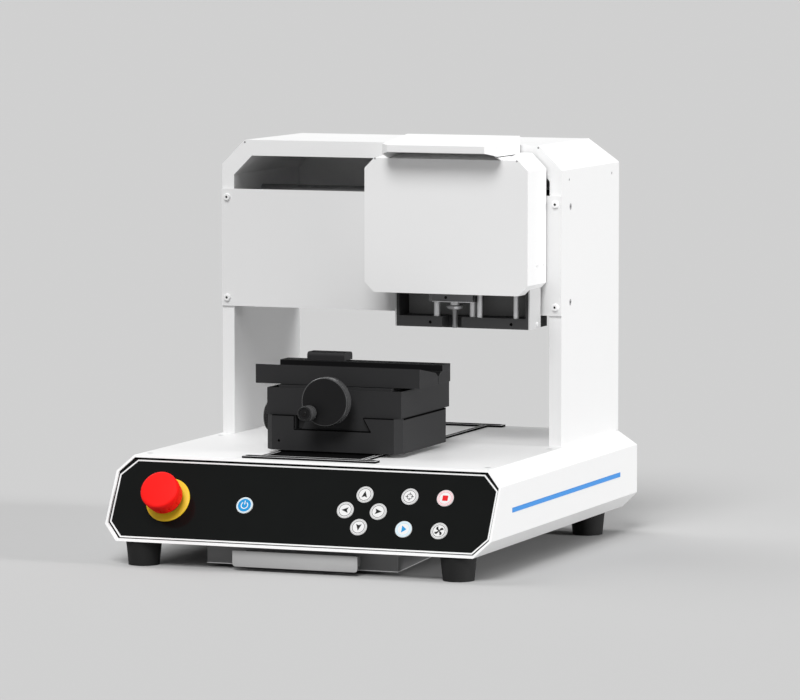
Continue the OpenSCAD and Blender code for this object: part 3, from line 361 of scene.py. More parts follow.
def edge_effect():
    """A mask that is 1 along sharp edges, broken up a little: worn and cut edges, and a painted highlight
    along edges that would catch the light.
    """
    tree, given, out = effect(
        "edge_wear_and_highlight", {"Place": "Vector", "Width": 0.0005, "Strength": 1.0}, {"Edges": "Float"})
    rounded = add_node(tree, "Bevel", {"Radius": given["Width"]}, samples=4)
    shape = add_node(tree, "NewGeometry", {})
    alike = add_node(tree, "VectorMath", {0: rounded["Normal"], 1: shape["Normal"]}, operation="DOT_PRODUCT")
    spread = add_node(tree, "MapRange", {"Value": alike["Value"], "From Min": 0.995, "From Max": 0.86})
    patchy = add_node(tree, "TexNoise", {"Vector": given["Place"], "Scale": 160.0, "Detail": 3.0})
    lift = add_node(tree, "MapRange", {
        "Value": patchy["Fac"], "From Min": 0.35, "From Max": 0.6, "To Min": 0.45})
    broken = add_node(tree, "Math", {0: spread["Result"], 1: lift["Result"]}, operation="MULTIPLY")
    worn_and_lit_edges = add_node(tree, "Math", {0: broken["Value"], 1: given["Strength"]},
                      operation="MULTIPLY", use_clamp=True)
    tree.links.new(worn_and_lit_edges["Value"], out["Edges"])
    return tree


def tint_effect():
    """Mixes a colour towards a second by patches, then towards an edge colour by a mask."""
    tree, given, out = effect(
        "tinted",
        {"Colour": "Color", "Patch colour": "Color", "Edge colour": "Color", "Patches": 0.5, "Edges": 0.0},
        {"Colour": "Color"})
    patch = mix_colours(tree, given["Patches"], given["Colour"], given["Patch colour"])
    rim = mix_colours(tree, given["Edges"], patch, given["Edge colour"])
    tree.links.new(rim, out["Colour"])
    return tree


def level_face_effect():
    """A mask that is 1 on faces that look straight up and 0 on all others."""
    tree, given, out = effect("faces_up", {"Least": 0.8}, {"Up": "Float"})
    shape = add_node(tree, "NewGeometry", {})
    split = add_node(tree, "SeparateXYZ", {"Vector": shape["True Normal"]})
    over = add_node(tree, "Math", {0: split["Z"], 1: given["Least"]}, operation="GREATER_THAN")
    tree.links.new(over["Value"], out["Up"])
    return tree


GRAIN = grain_effect()
EDGES = edge_effect()
TINT = tint_effect()
TOPS = level_face_effect()


# ---- finishes ----

class Finish:
    """A material under construction: its shader, its object coordinates and its shared effects."""

    def __init__(self, name):
        self.material = bpy.data.materials.new(name)
        self.material.use_nodes = True
        self.tree = self.material.node_tree
        self.link = self.tree.links.new
        self.shader = self.tree.nodes["Principled BSDF"].inputs
        self.place = add_node(self.tree, "TexCoord", {})["Object"]

    def effect(self, group, **inputs):
        """Places a shared effect in the material; in an input's name, _ stands for a space."""
        named = {label.replace("_", " "): value for label, value in inputs.items() if value is not None}
        return add_node(self.tree, "Group", named, node_tree=group)

    def surface(self, grain, patches):
        """The grain and the slow patches of the surface, each at its rate per metre."""
        return self.effect(GRAIN, Place=self.place, Grain_per_metre=grain, Patches_per_metre=patches)

    def worn_and_lit_edges(self, edge, width, strength):
        """The mask of the worn edges and of the painted edge highlights, where the finish has an edge colour.
        """
        if edge:
            return self.effect(EDGES, Place=self.place, Width=width, Strength=strength)["Edges"]

    def colour(self, base, patch, patches, edge=None, edges=None):
        """One colour, a second one on the patches and a third along the rubbed edges."""
        tinted = self.effect(TINT, Colour=(*base, 1), Patch_colour=(*patch, 1),
                             Edge_colour=(*(edge or base), 1), Patches=patches, Edges=edges)
        self.link(tinted["Colour"], self.shader["Base Color"])

    def gloss(self, patches, low, high):
        """A roughness that runs from low to high with the patches."""
        spread = add_node(self.tree, "MapRange", {
            "Value": patches, "From Min": 0.3, "From Max": 0.7, "To Min": low, "To Max": high})
        self.link(spread["Result"], self.shader["Roughness"])

    def bump(self, height, depth):
        raised = add_node(self.tree, "Bump", {"Height": height, "Distance": depth})
        self.link(raised["Normal"], self.shader["Normal"])

    def settings(self, **values):
        """Plain values on the shader's own sockets; in a value's name, _ stands for a space."""
        for label, value in values.items():
            self.shader[label.replace("_", " ")].default_value = value


def powder_coat(name, base, patch, low=0.38, high=0.5, depth=0.00001, edge=None, width=0.0006, edge_strength=0.6,
                grain=1400.0):
    """Painted sheet: fine orange peel, slow changes of gloss, edges a shade brighter or darker, partly as
    wear and partly as a painted highlight.
    """
    paint = Finish(name)
    surface = paint.surface(grain, 9.0)
    paint.colour(base, patch, surface["Patches"], edge, paint.worn_and_lit_edges(edge, width, edge_strength))
    paint.gloss(surface["Patches"], low, high)
    paint.bump(surface["Grain"], depth)
    paint.settings(IOR=1.45)
    return paint.material


def moulding(name, base, patch, low=0.3, high=0.42, coat=0.0, depth=0.000006, grain=2600.0, edge=None,
             shine=0.5):
    """Moulded plastic or rubber: a faint texture and small changes of gloss."""
    paint = Finish(name)
    surface = paint.surface(grain, 40.0)
    paint.colour(base, patch, surface["Patches"], edge, paint.worn_and_lit_edges(edge, width=0.0005, strength=0.5))
    paint.gloss(surface["Patches"], low, high)
    paint.bump(surface["Grain"], depth)
    paint.settings(IOR=1.47, Specular_IOR_Level=shine, Coat_Weight=coat, Coat_Roughness=0.06)
    return paint.material


def machined(name, base, patch, along, low=0.22, high=0.38, depth=0.000006, edge=None, edge_strength=0.8, metallic=1.0):
    """Cut, ground or brushed metal: fine lines along one direction and brighter edges, partly cut and partly
    a painted highlight.
    """
    metal = Finish(name)
    edges = metal.worn_and_lit_edges(edge, width=0.0005, strength=edge_strength)
    lines = tuple(0.02 if axis == along else 1.0 for axis in "xyz")
    metal.place = add_node(metal.tree, "Mapping", {"Vector": metal.place, "Scale": lines})["Vector"]
    surface = metal.surface(1800.0, 120.0)
    metal.colour(base, patch, surface["Patches"], edge, edges)
    metal.gloss(surface["Grain"], low, high)
    metal.bump(surface["Grain"], depth)
    metal.settings(Metallic=metallic)
    return metal.material


def blackened(name, sides, shaded_tops, shine):
    """Black oxide on steel: the sides a little glossier than the level faces, and the level faces in another
    tone, painted as shade; the edges brighter, as wear and as a painted highlight.
    """
    metal = Finish(name)
    up = metal.effect(TOPS)["Up"]
    surface = metal.surface(1500.0, 50.0)
    edge = tuple(3 * tone + 0.03 for tone in sides)
    metal.colour(sides, shaded_tops, up, edge, metal.worn_and_lit_edges(edge, width=0.0004, strength=0.5))
    metal.gloss(up, 0.45, 0.6)
    metal.bump(surface["Grain"], 0.000004)
    metal.settings(Specular_IOR_Level=shine)
    return metal.material


def circuit_board(name):
    """Green board with rows of small parts and traces."""
    board = Finish(name)
    surface = board.surface(900.0, 60.0)
    cells = add_node(board.tree, "TexVoronoi", {"Vector": board.place, "Scale": 160.0},
                     feature="F1", distance="CHEBYCHEV")
    parts = add_node(board.tree, "MapRange", {"Value": cells["Distance"], "From Min": 0.2, "From Max": 0.17})
    board.colour((0.012, 0.1, 0.035), (0.02, 0.16, 0.06), surface["Patches"], (0.35, 0.3, 0.16),
                 parts["Result"])
    board.gloss(surface["Patches"], 0.25, 0.5)
    return board.material


def grey(tone, cool=0.0):
    """A grey, with a little more blue where it is cool."""
    return (tone, tone, tone + cool)


# Each finish's edge colour follows the edge mask: partly wear, partly a painted highlight on the edges.
PAINT = {
    "white": powder_coat("white_powder_coat", grey(0.85), grey(0.83, 0.002), edge=grey(0.9)),
    # The cover plate is painted darker and the head cover and hood lighter than the plain white: painted
    # shade on the plate round the head, painted light on the head.
    "plate_white_painted_shade": powder_coat("plate_painted_shade_coat", grey(0.80), grey(0.775, 0.002), edge=grey(0.9)),
    "head_white_painted_light": powder_coat("head_painted_light_coat", grey(0.89), grey(0.87, 0.002), edge=grey(0.92)),
    # The head's side skins are white sheet painted grey, as the shade they lie in under the head cover.
    "skin": powder_coat("skin_painted_shade_coat", grey(0.60), grey(0.57, 0.002), edge=grey(0.8)),
    "dark_sheet": powder_coat("dark_sheet_coat", grey(0.16, 0.002), grey(0.23, 0.002), 0.45, 0.6, 0.00006,
                              grey(0.5), 0.0007, 0.7, 900.0),
    "grey_sheet": powder_coat("grey_sheet_coat", grey(0.44), grey(0.53), 0.4, 0.55, 0.00005,
                              grey(0.75), 0.0007, 0.7, 900.0),
    "frame_black": powder_coat("black_texture_coat", grey(0.024, 0.001), grey(0.036, 0.001), 0.5, 0.65,
                               0.00008, grey(0.12), 0.0005, 0.6, 1100.0),
    "cage_grey": powder_coat("cage_texture_coat", grey(0.24, 0.002), grey(0.34, 0.002), 0.5, 0.65, 0.00012,
                             grey(0.3), 0.0005, 0.6, 800.0),
    "motor": powder_coat("motor_black", grey(0.02), grey(0.032), 0.35, 0.5, 0.00001, grey(0.3)),
    "panel": moulding("panel_sheet", (0.0050, 0.0056, 0.0054), (0.0062, 0.0070, 0.0067), 0.08, 0.12,
                      depth=0.0000008, shine=0.1),
    "line_white": moulding("printed_white", grey(0.85), grey(0.80), 0.35, 0.45),
    "button": moulding("button_cap", grey(0.80), grey(0.76), 0.25, 0.35, 0.3),
    "ink": moulding("black_ink", grey(0.005), grey(0.008), 0.35, 0.45, shine=0.2),
    # Black for strips that are painted as the shade in gaps.
    "gap": moulding("gap_painted_shade", grey(0.002), grey(0.003), 0.7, 0.8, shine=0.0),
    "ring_grey": moulding("grey_ink", grey(0.30), grey(0.35), 0.35, 0.45),
    "symbol_blue": moulding("blue_ink", (0.012, 0.27, 0.60), (0.014, 0.30, 0.65), 0.3, 0.4, shine=0.2),
    "pale_blue": moulding("pale_blue_ink", (0.35, 0.68, 0.84), (0.4, 0.72, 0.88), 0.3, 0.4),
    "symbol_red": moulding("red_ink", (0.75, 0.008, 0.014), (0.70, 0.007, 0.012), 0.3, 0.4, shine=0.2),
    "pink": moulding("pink_ink", (0.80, 0.24, 0.27), (0.85, 0.3, 0.33), 0.3, 0.4),
    "stripe": moulding("blue_strip", (0.032, 0.265, 0.72), (0.038, 0.29, 0.76), 0.3, 0.4, shine=0.25),
    "mushroom": moulding("stop_red", (0.93, 0.010, 0.008), (0.86, 0.009, 0.007), 0.48, 0.56,
                         depth=0.000004, shine=0.12),
    "yellow": moulding("stop_yellow", (0.78, 0.52, 0.022), (0.74, 0.48, 0.020), 0.36, 0.46, shine=0.25),
    "rubber": moulding("foot_rubber", grey(0.013), grey(0.02), 0.65, 0.8, depth=0.00003, grain=1500.0,
                       edge=grey(0.05), shine=0.2),
    "black_plastic": moulding("black_plastic", grey(0.014, 0.0005), grey(0.022, 0.001), 0.4, 0.52,
                              depth=0.00002, grain=2000.0, edge=grey(0.08)),
    "wheel": moulding("wheel_black", grey(0.007, 0.0003), grey(0.010, 0.0005), 0.4, 0.5, depth=0.000004,
                      edge=grey(0.16), shine=0.15),
    # The wheels' side band is their black painted lighter, as the light on that side.
    "rim_side_painted_light": moulding("wheel_side_painted_light", grey(0.05, 0.001), grey(0.065, 0.001), 0.22, 0.3, 0.3, 0.000002),
    # The vise's and the table's level faces are painted darker than their sides, as shade.
    "vise": blackened("vise_black_oxide", grey(0.032, 0.001), grey(0.005, 0.0002), 0.04),
    "table": blackened("table_black_oxide", grey(0.010, 0.0005), grey(0.006, 0.0002), 0.0),
    "zinc": machined("zinc_sheet", grey(0.20, 0.005), grey(0.28, 0.005), "y", 0.4, 0.6, metallic=0.4),
    "rim": machined("rim_steel", grey(0.09, 0.002), grey(0.12, 0.002), "x", 0.2, 0.3, 0.000002),
    "bead": machined("bead_painted_highlight", grey(0.62, 0.005), grey(0.70, 0.005), "y", 0.2, 0.3, 0.000001,
                     metallic=0.3),
    "ground": machined("ground_steel", grey(0.66, 0.01), grey(0.74, 0.01), "z", 0.14, 0.26, 0.000003),
    "steel": machined("turned_steel", grey(0.50, 0.01), grey(0.6, 0.01), "x", 0.24, 0.4, 0.000005, grey(0.8)),
    "cutter_grey": machined("cutter_carbide", grey(0.26, 0.005), grey(0.34, 0.005), "z", 0.3, 0.45, 0.000005,
                            grey(0.6), metallic=0.6),
    "bright_post": machined("bright_post", grey(0.80, 0.01), grey(0.86, 0.01), "z", 0.3, 0.42, 0.000003,
                            metallic=0.45),
    "cast_grey": machined("blasted_aluminium", grey(0.13, 0.005), grey(0.19, 0.005), "x", 0.35, 0.5, 0.00001,
                          grey(0.6), 0.9, 0.6),
    "aluminium": machined("pressed_aluminium", grey(0.55, 0.01), grey(0.62, 0.01), "y", 0.32, 0.46, 0.000005),
    "brass": machined("brass_contact", (0.72, 0.5, 0.2), (0.78, 0.56, 0.26), "y", 0.2, 0.3),
    "board": circuit_board("circuit_board"),
}

NODE_PAINT = {
    "white": ["base_shell", "gantry_shell", "cover_screws", "rear_cover"],
    "plate_white_painted_shade": ["cover_plate"],
    "head_white_painted_light": ["head_cover", "hood"],
    "skin": ["head_skins"],
    "zinc": ["bottom_plate"],
    "panel": ["control_panel"],
    "stripe": ["side_stripes"],
    "rubber": ["rubber_feet"],
    "yellow": ["e_stop_ring"],
    "black_plastic": ["e_stop_collar", "e_stop_stem", "power_inlet", "fan_frame", "fan_rotor"],
    "button": ["button_" + key for key in BUTTONS],
    "board": ["button_board", "control_board"],
    "dark_sheet": ["chip_tray"],
    "grey_sheet": ["tray_pull"],
    "table": ["slide_frame", "y_table"],
    "cast_grey": ["y_carriage", "x_carriage", "spindle_block"],
    "ground": ["y_guides"],
    "cutter_grey": ["x_rods"],
    "bright_post": ["z_tower"],
    "steel": ["vise_screw", "cutter", "spindle_collet", "y_lead_screw", "x_lead_screw", "z_lead_screw"],
    "motor": ["y_motor", "x_motor", "z_motor", "spindle_motor"],
    "frame_black": ["head_frame"],
    "vise": ["vise_base", "vise_slide", "jaw_front", "jaw_rear", "work_stop"],
    "wheel": ["vise_wheel", "crank_handle", "lock_knob"],
    "mushroom": ["e_stop_head"],
    "aluminium": ["power_supply"],
}


def paint_nodes():
    """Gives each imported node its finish."""
    for paint, nodes in NODE_PAINT.items():
        for node in nodes:
            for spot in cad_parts[node].material_slots:
                spot.material = PAINT[paint]


# ---- camera, floor and light ----

def set_camera():
    """Looks at the machine from its right front, from far off and a little above."""
    bpy.context.scene.view_settings.view_transform = "Standard"
    azimuth, height, distance = math.radians(21.13), math.radians(5.17), 5.338
    target = Vector((0.0355, -0.0224, 0.2101))
    data = bpy.data.cameras.new("camera")
    data.lens = 231.4
    data.sensor_width = 36.0
    data.clip_end = 200.0
    camera = bpy.data.objects.new("camera", data)
    bpy.context.scene.collection.objects.link(camera)
    level = math.cos(height)
    back = Vector((math.sin(azimuth) * level, -math.cos(azimuth) * level, math.sin(height)))
    camera.location = target + back * distance
    camera.rotation_euler = (-back).to_track_quat("-Z", "Y").to_euler()
    bpy.context.scene.camera = camera


def seen_by(tree, first, *others):
    """A factor that is 1 for rays of the named kinds, and 0 for the rays that light the object."""
    path = add_node(tree, "LightPath", {})
    factor = path[first]
    for ray in others:
        factor = add_node(tree, "Math", {0: factor, 1: path[ray]}, operation="MAXIMUM")["Value"]
    return factor


def lay_floor():
    """A plain matt floor: one grey lights the object from below, and a paler one is seen."""
    put_down()
    bpy.ops.mesh.primitive_plane_add(size=160, location=(0, 0, -0.0003))
    floor = fresh("studio_floor")
    material = bpy.data.materials.new("studio_floor")
    material.use_nodes = True
    tree = material.node_tree
    seen = seen_by(tree, "Is Camera Ray", "Is Glossy Ray")
    tone = mix_colours(tree, seen, (*grey(0.36), 1), (*grey(0.515), 1))
    shader = tree.nodes["Principled BSDF"].inputs
    tree.links.new(tone, shader["Base Color"])
    shader["Roughness"].default_value = 1.0
    shader["Specular IOR Level"].default_value = 0.0
    floor.data.materials.append(material)


def set_light():
    """Faint white light from all round, a pale background that is only seen, and three soft suns."""
    world = bpy.data.worlds.new("studio")
    bpy.context.scene.world = world
    world.use_nodes = True
    tree = world.node_tree
    around_all = tree.nodes["Background"]
    around_all.inputs["Color"].default_value = (1, 1, 1, 1)
    around_all.inputs["Strength"].default_value = 0.27
    seen = add_node(tree, "Background", {"Color": (*grey(0.64), 1)})
    mix = add_node(tree, "MixShader", {
        0: seen_by(tree, "Is Camera Ray", "Is Glossy Ray", "Is Transmission Ray"),
        1: around_all.outputs["Background"], 2: seen["Background"]})
    tree.links.new(mix["Shader"], tree.nodes["World Output"].inputs["Surface"])
    for name, way, strength, spread in (("front_light", (0.07, -0.68, 0.73), 2.3, 28.0),
                                        ("right_light", (0.98, 0.01, 0.20), 2.25, 16.0),
                                        ("left_light", (-0.55, 0.24, 0.80), 1.1, 42.0)):
        data = bpy.data.lights.new(name, "SUN")
        data.energy = strength
        data.angle = math.radians(spread)
        lamp = bpy.data.objects.new(name, data)
        bpy.context.scene.collection.objects.link(lamp)
        lamp.rotation_euler = Vector(way).to_track_quat("Z", "Y").to_euler()


# ---- the control panel and its buttons ----

def panel_line():
    """The thin white line printed round the panel."""
    right = [(191.3, 5.3), (206.2, 21.9), (206.2, 74.8), (189.6, 91.9)]
    left = [(-x, y) for x, y in reversed(right)]
    draw_face(left[-1:] + right + left[:-1])
    bpy.ops.mesh.select_mode(type="FACE")
    select_whole()
    bpy.ops.mesh.inset(thickness=1.6 * MM)
    bpy.ops.mesh.delete(type="FACE")
    select_whole()
    draw_on(0, 0, 0.12)
    line = place(put_away("panel_line"), on_panel(0, 0))
    mount_piece(line, "base", "line_white")


def on_button(shape, key, name, paint, turn=0, lift=0.0):
    """Lays a printed shape on a button's cap, turned by quarters; it moves with the button."""
    place(shape, on_panel(*BUTTONS[key], BUTTON_FACE + lift) @ quarter_turn(turn))
    shape.name = shape.data.name = name
    mount_piece(shape, "key_" + key, paint)


def arrowhead():
    return cut_plate("arrow", [(0, 3.9), (3.0, -3.2), (0, -2.0), (-3.0, -3.2)], INK)


def four_times(name, outline):
    return [place(cut_plate(name, outline, INK), quarter_turn(quarter)) for quarter in range(4)]


def propeller():
    """Four blades that curve the same way round a hub."""
    blades = four_times("blade", [(0.3, 0.0), (0.7, 1.7), (1.5, 3.0), (2.9, 3.5), (4.2, 2.8), (4.7, 1.3),
                                  (3.4, 1.2), (2.1, 0.8), (1.0, 0.1)])
    return joined("propeller", blades + [cut_plate("hub", around(0.9, range(0, 360, 30)), INK)])


def crosshair():
    """A plain aiming mark: a ring with four short bars."""
    ring = flat_ring("aim", 3.1, 2.5, sides=48)
    bars = four_times("stroke", [(-0.35, 1.5), (0.35, 1.5), (0.35, 4.4), (-0.35, 4.4)])
    return joined("crosshair", [ring] + bars)


def button_prints():
    """The ring round each cap, and the symbols in their circles."""
    rim_ink = {"power": "pale_blue", "play": "pale_blue", "stop": "pink"}
    circle_ink = {"play": "pale_blue", "stop": "pink"}
    for key in BUTTONS:
        on_button(flat_ring("rim", 8.15, 7.7), key, f"rim_{key}", rim_ink.get(key, "ring_grey"))
        if key != "power":
            on_button(flat_ring("circle", 6.75, 6.25), key, f"circle_{key}", circle_ink.get(key, "ink"))
    for turn, key in enumerate(("up", "left", "down", "right")):
        on_button(arrowhead(), key, f"arrow_{key}", "ink", turn)
    disc = cut_plate("disc", around(7.0, [7.5 * step for step in range(48)]), INK)
    on_button(disc, "power", "power_disc", "symbol_blue")
    arc = flat_ring("arc", 4.0, 3.1, sides=72, gap=62)
    on_button(arc, "power", "power_arc", "line_white", lift=INK)
    upright = cut_plate("upright", [(-0.45, 0.8), (0.45, 0.8), (0.45, 5.0), (-0.45, 5.0)], INK)
    on_button(upright, "power", "power_bar", "line_white", lift=INK)
    on_button(crosshair(), "focus", "focus_mark", "ink")
    square = cut_plate("square", [(-2.6, -2.9), (2.6, -2.9), (2.9, -2.6), (2.9, 2.6), (2.6, 2.9), (-2.6, 2.9),
                                  (-2.9, 2.6), (-2.9, -2.6)], INK)
    on_button(square, "stop", "stop_square", "symbol_red")
    triangle = cut_plate("triangle", [(-1.9, -3.4), (-1.4, -3.5), (2.9, -0.3), (2.9, 0.3), (-1.4, 3.5),
                                      (-1.9, 3.4)], INK)
    on_button(triangle, "play", "play_triangle", "symbol_blue")
    on_button(propeller(), "fan", "fan_mark", "ink")


# ---- the emergency stop ----

def press_in(piece, test, margin, depth):
    """Presses each face that passes the test inwards, inside a narrow margin."""
    pick(piece, "FACE", test)
    bpy.ops.mesh.inset(thickness=margin * MM, depth=-depth * MM, use_individual=True)
    put_down()


def stop_mushroom():
    """The red head, with a step and finger notches round its lower edge."""
    strips, notches = 96, 12
    head = turned("stop_mushroom", [
        (0, 25.5), (17.6, 25.5), (18.9, 25.25), (19.7, 24.6), (20, 23.6), (20, 15.6), (19.6, 14.9),
        (18.8, 14.6), (18.8, 6.3), (18.2, 5.6), (16.6, 5.5), (16.5, 11.5), (5.2, 11.5), (5.2, 17.65),
        (0, 17.65)], strips)

    def notch(at, face):
        on_skirt = 18.5 < math.hypot(at.x, at.y) < 18.9 and 6.4 < at.z < 14
        return on_skirt and strip_of(at, strips) % (strips // notches) == 0

    press_in(head, notch, 0.12, 0.9)
    soften(head, 0.15, 1, 50)
    place(head, on_panel(*EMERGENCY_STOP, 0))
    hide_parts("e_stop_head")
    mount_piece(head, "stop_head", "mushroom", 40)


def stop_ring():
    """The yellow ring, which falls away to its edge."""
    ring = turned("stop_ring", [
        (11.2, -2.5), (23.7, -2.5), (23.7, -1.7), (23.3, -1.25), (22.6, -1.05), (14.0, -0.75), (11.2, -0.75),
        (11.2, -2.5)], 96)
    place(ring, on_panel(*EMERGENCY_STOP, 0))
    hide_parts("e_stop_ring")
    mount_piece(ring, "base", "yellow")


# ---- screws ----

def socket_screw(profile, across, depth):
    """A screw whose profile runs from the middle of its underside to its rim, with a six-sided socket."""
    screw = turned("screw", profile, 32)
    rim_height = profile[-1][1]
    take(screw)
    bpy.ops.object.mode_set(mode="EDIT")
    bpy.ops.mesh.primitive_circle_add(vertices=6, radius=across * MM, fill_type="NOTHING",
                                      location=mm(0, 0, rim_height))
    pick(screw, "EDGE", lambda at, edge: edge.is_boundary or edge.is_wire)
    bpy.ops.mesh.bridge_edge_loops()
    pick(screw, "EDGE", lambda at, edge: edge.is_boundary)
    draw_on(0, 0, -depth)
    bpy.ops.mesh.edge_face_add()
    return put_away("screw")


def countersunk(radius, height, across):
    return socket_screw([(0, -height), (radius * 0.55, -height), (radius, -0.12), (radius, -0.05),
                         (radius - 0.05, 0)], across, height * 0.7)


def button_screw(radius, height, across):
    return socket_screw([(0, 0), (radius, 0), (radius, 0.15), (radius * 0.93, height * 0.6),
                         (radius * 0.72, height)], across, height * 0.7)


def base_screws():
    """The screws in the base's top, under its feet and in its bottom plate."""
    low, high = faces("base_shell")
    sunk, foot_recess = 0.1, 7.9
    spots = [facing((s * 185, y, high.z - sunk), UP) for s in BOTH for y in (-164.7, 20)]
    mount_copies("base_top_screws", countersunk(3.4, 1.55, 1.5), spots, "base", "aluminium")
    spots = [facing((s * 171.5, y, foot_recess), DOWN) for s in BOTH for y in (-212, 182)]
    mount_copies("foot_screws", button_screw(4.6, 2.4, 1.6), spots, "base", "steel")
    spots = [facing((s * 188, y, low.z), DOWN) for s in BOTH for y in (-140, 0, 120)]
    mount_copies("bottom_screws", button_screw(2.8, 1.6, 1.1), spots, "base", "steel")


def portal_screws():
    """The screws in the portal's sides, at its upper front corners and round its rear cover."""
    low, high = faces("gantry_shell")
    sunk, deep, flush = 0.1, 0.4, 0.05
    spots = [facing((s * (high.x - sunk), 68.3, z), (s, 0, 0)) for s in BOTH for z in (357.4, 257.6)]
    mount_copies("portal_side_screws", countersunk(3.4, 1.35, 1.3), spots, "base", "aluminium")
    spots = [facing((s * (high.x - deep), y, 385.5), (s, 0, 0)) for s in BOTH for y in (63.8, 200.8)]
    mount_copies("portal_set_screws", countersunk(1.45, 0.7, 0.7), spots, "base", "steel")
    spots = [facing((s * 165, low.y - flush, 419.4), FRONT) for s in BOTH]
    mount_copies("crown_screws", countersunk(0.95, 0.6, 0.45), spots, "base", "ink")
    spots = [facing((x, high.y, z), REAR) for x in (-170, 0, 170) for z in (258, 385)]
    spots += [facing((s * 184.3, high.y, z), REAR) for s in BOTH for z in (125, 195)]
    mount_copies("rear_cover_screws", button_screw(3.4, 2.0, 1.3), spots, "base", "steel")


def head_screws():
    """The screws in the head's front corners, in its skins and high in its sides."""
    low, high = faces("head_cover")
    spots = [facing((x, low.y - 0.02, 408.4), FRONT) for x in (6.7, 163.1)]
    mount_copies("head_front_screws", countersunk(0.95, 0.5, 0.45), spots, "head", "ink")
    skin_low, skin_high = faces("head_skins")
    spots = [facing((x, 24, 237.6), way) for x, way in ((skin_high.x, RIGHT), (skin_low.x, LEFT))]
    mount_copies("skin_screws", button_screw(2.3, 1.3, 0.9), spots, "head", "white")
    spots = [facing((x, y, 300), way) for x, way in ((high.x, RIGHT), (low.x, LEFT)) for y in (8, 28)]
    mount_copies("head_side_screws", button_screw(1.9, 1.1, 0.8), spots, "head", "white")


# ---- the vise ----

def bright_rim(name, radius, spot, body):
    """The polished bevel round a wheel's front edge."""
    inner, outer, depth = radius - 0.95, radius + 0.04, -0.95
    rim = turned(name, [(inner, 0.0), (radius - 0.55, 0.06), (outer, -0.5), (outer, depth),
                        (radius - 0.3, depth), (inner, 0.0)], 96)
    mount_piece(place(rim, spot), body, "rim")


def rim_band(name, radius, low, high, spot, body):
    """A turned band round a wheel, painted lighter than the wheel as the light on its side."""
    inner, face, crest = radius - 0.4, radius + 0.02, radius + 0.12
    band = turned(name, [(inner, high), (face, high), (crest, high - 0.4), (crest, low + 0.4), (face, low),
                         (inner, low), (inner, high)], 96)
    mount_piece(place(band, spot), body, "rim_side_painted_light")


def hand_wheel():
    """The vise's wheel, with the crank's pin on its face."""
    spot = facing((0, WHEEL_FACE, WHEEL_Z), FRONT)
    wheel = turned("hand_wheel", [
        (0, 0), (23.9, 0), (24.9, -0.9), (25, -1.4), (25, -11.4), (24.2, -12.6), (22, -12.9), (13, -12.9),
        (12.4, -13.2), (10.4, -13.6), (10, -14.2), (10, -26), (0, -26)], 96)
    place(wheel, spot)
    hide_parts("vise_wheel")
    mount_piece(wheel, "wheel", "wheel")
    bright_rim("hand_wheel_rim", 25, spot, "wheel")
    rim_band("hand_wheel_band", 25, -11.4, -1.3, spot, "wheel")
    pin = turned("crank_pin", [
        (0, 15), (2.3, 15), (2.5, 14.6), (2.5, 0.8), (3.4, 0.5), (3.4, -0.3), (0, -0.3)], 32)
    place(pin, facing((CRANK_X, WHEEL_FACE, CRANK_Z), FRONT))
    mount_piece(pin, "wheel", "black_plastic")


def crank_knob():
    """The knob that turns on the crank's pin, and the screw in its hollow end."""
    end, hollow = -162.2, 1.24
    spot = facing((CRANK_X, end, CRANK_Z), FRONT)
    crank = turned("crank", [
        (0, -1.25), (5.6, -1.25), (5.95, -0.35), (6.3, 0.0), (7.1, 0.0), (7.8, -0.8), (7.8, -14.6),
        (7.2, -15.6), (2.6, -15.6), (2.6, -2.0), (0, -2.0)], 64)
    place(crank, spot)
    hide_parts("crank_handle")
    mount_piece(crank, "crank", "wheel")
    rim_band("crank_band", 7.8, -14.4, -1.0, spot, "crank")
    spot = facing((CRANK_X, end + hollow, CRANK_Z), FRONT)
    mount_copies("crank_screw", button_screw(2.6, 0.9, 1.0), [spot], "crank", "ink")


def lock_handle():
    """The knob at the vise's left side, with a knurled rim."""
    radius, strips = 15, 72
    spot = facing((-90, -75.7, 142.5), LEFT)
    knob = turned("lock_handle", [
        (0, -0.3), (6.2, -0.3), (6.8, 0.0), (13.9, 0.0), (14.8, -0.6), (radius, -1.0), (radius, -4.1),
        (14.7, -4.5), (14, -5), (8.2, -5), (7.3, -5.6), (7, -6.4), (7, -14.6), (0, -14.6)], strips)

    def every_other(at, face):
        on_rim = -4.0 < at.z < -1.1 and math.hypot(at.x, at.y) > radius - 0.4
        return on_rim and strip_of(at, strips) % 2 == 0

    press_in(knob, every_other, 0.1, 0.35)
    place(knob, spot)
    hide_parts("lock_knob")
    mount_piece(knob, "lock", "wheel", 25)
    bright_rim("lock_rim", radius, spot, "lock")


def stroke(name, points, width, front):
    """A thin line drawn in X and Z on a face that looks to the front, one bar for each straight run."""
    depth = 0.5
    bars = []
    for (x0, z0), (x1, z1) in zip(points, points[1:]):
        run, rise = x1 - x0, z1 - z0
        part = block(name, (0, 0, -width / 2), (math.hypot(run, rise), depth, width / 2))
        turn = Matrix.Rotation(-math.atan2(rise, run), 4, "Y")
        bars.append(place(part, Matrix.Translation(mm(x0, front, z0)) @ turn))
    return joined(name, bars)


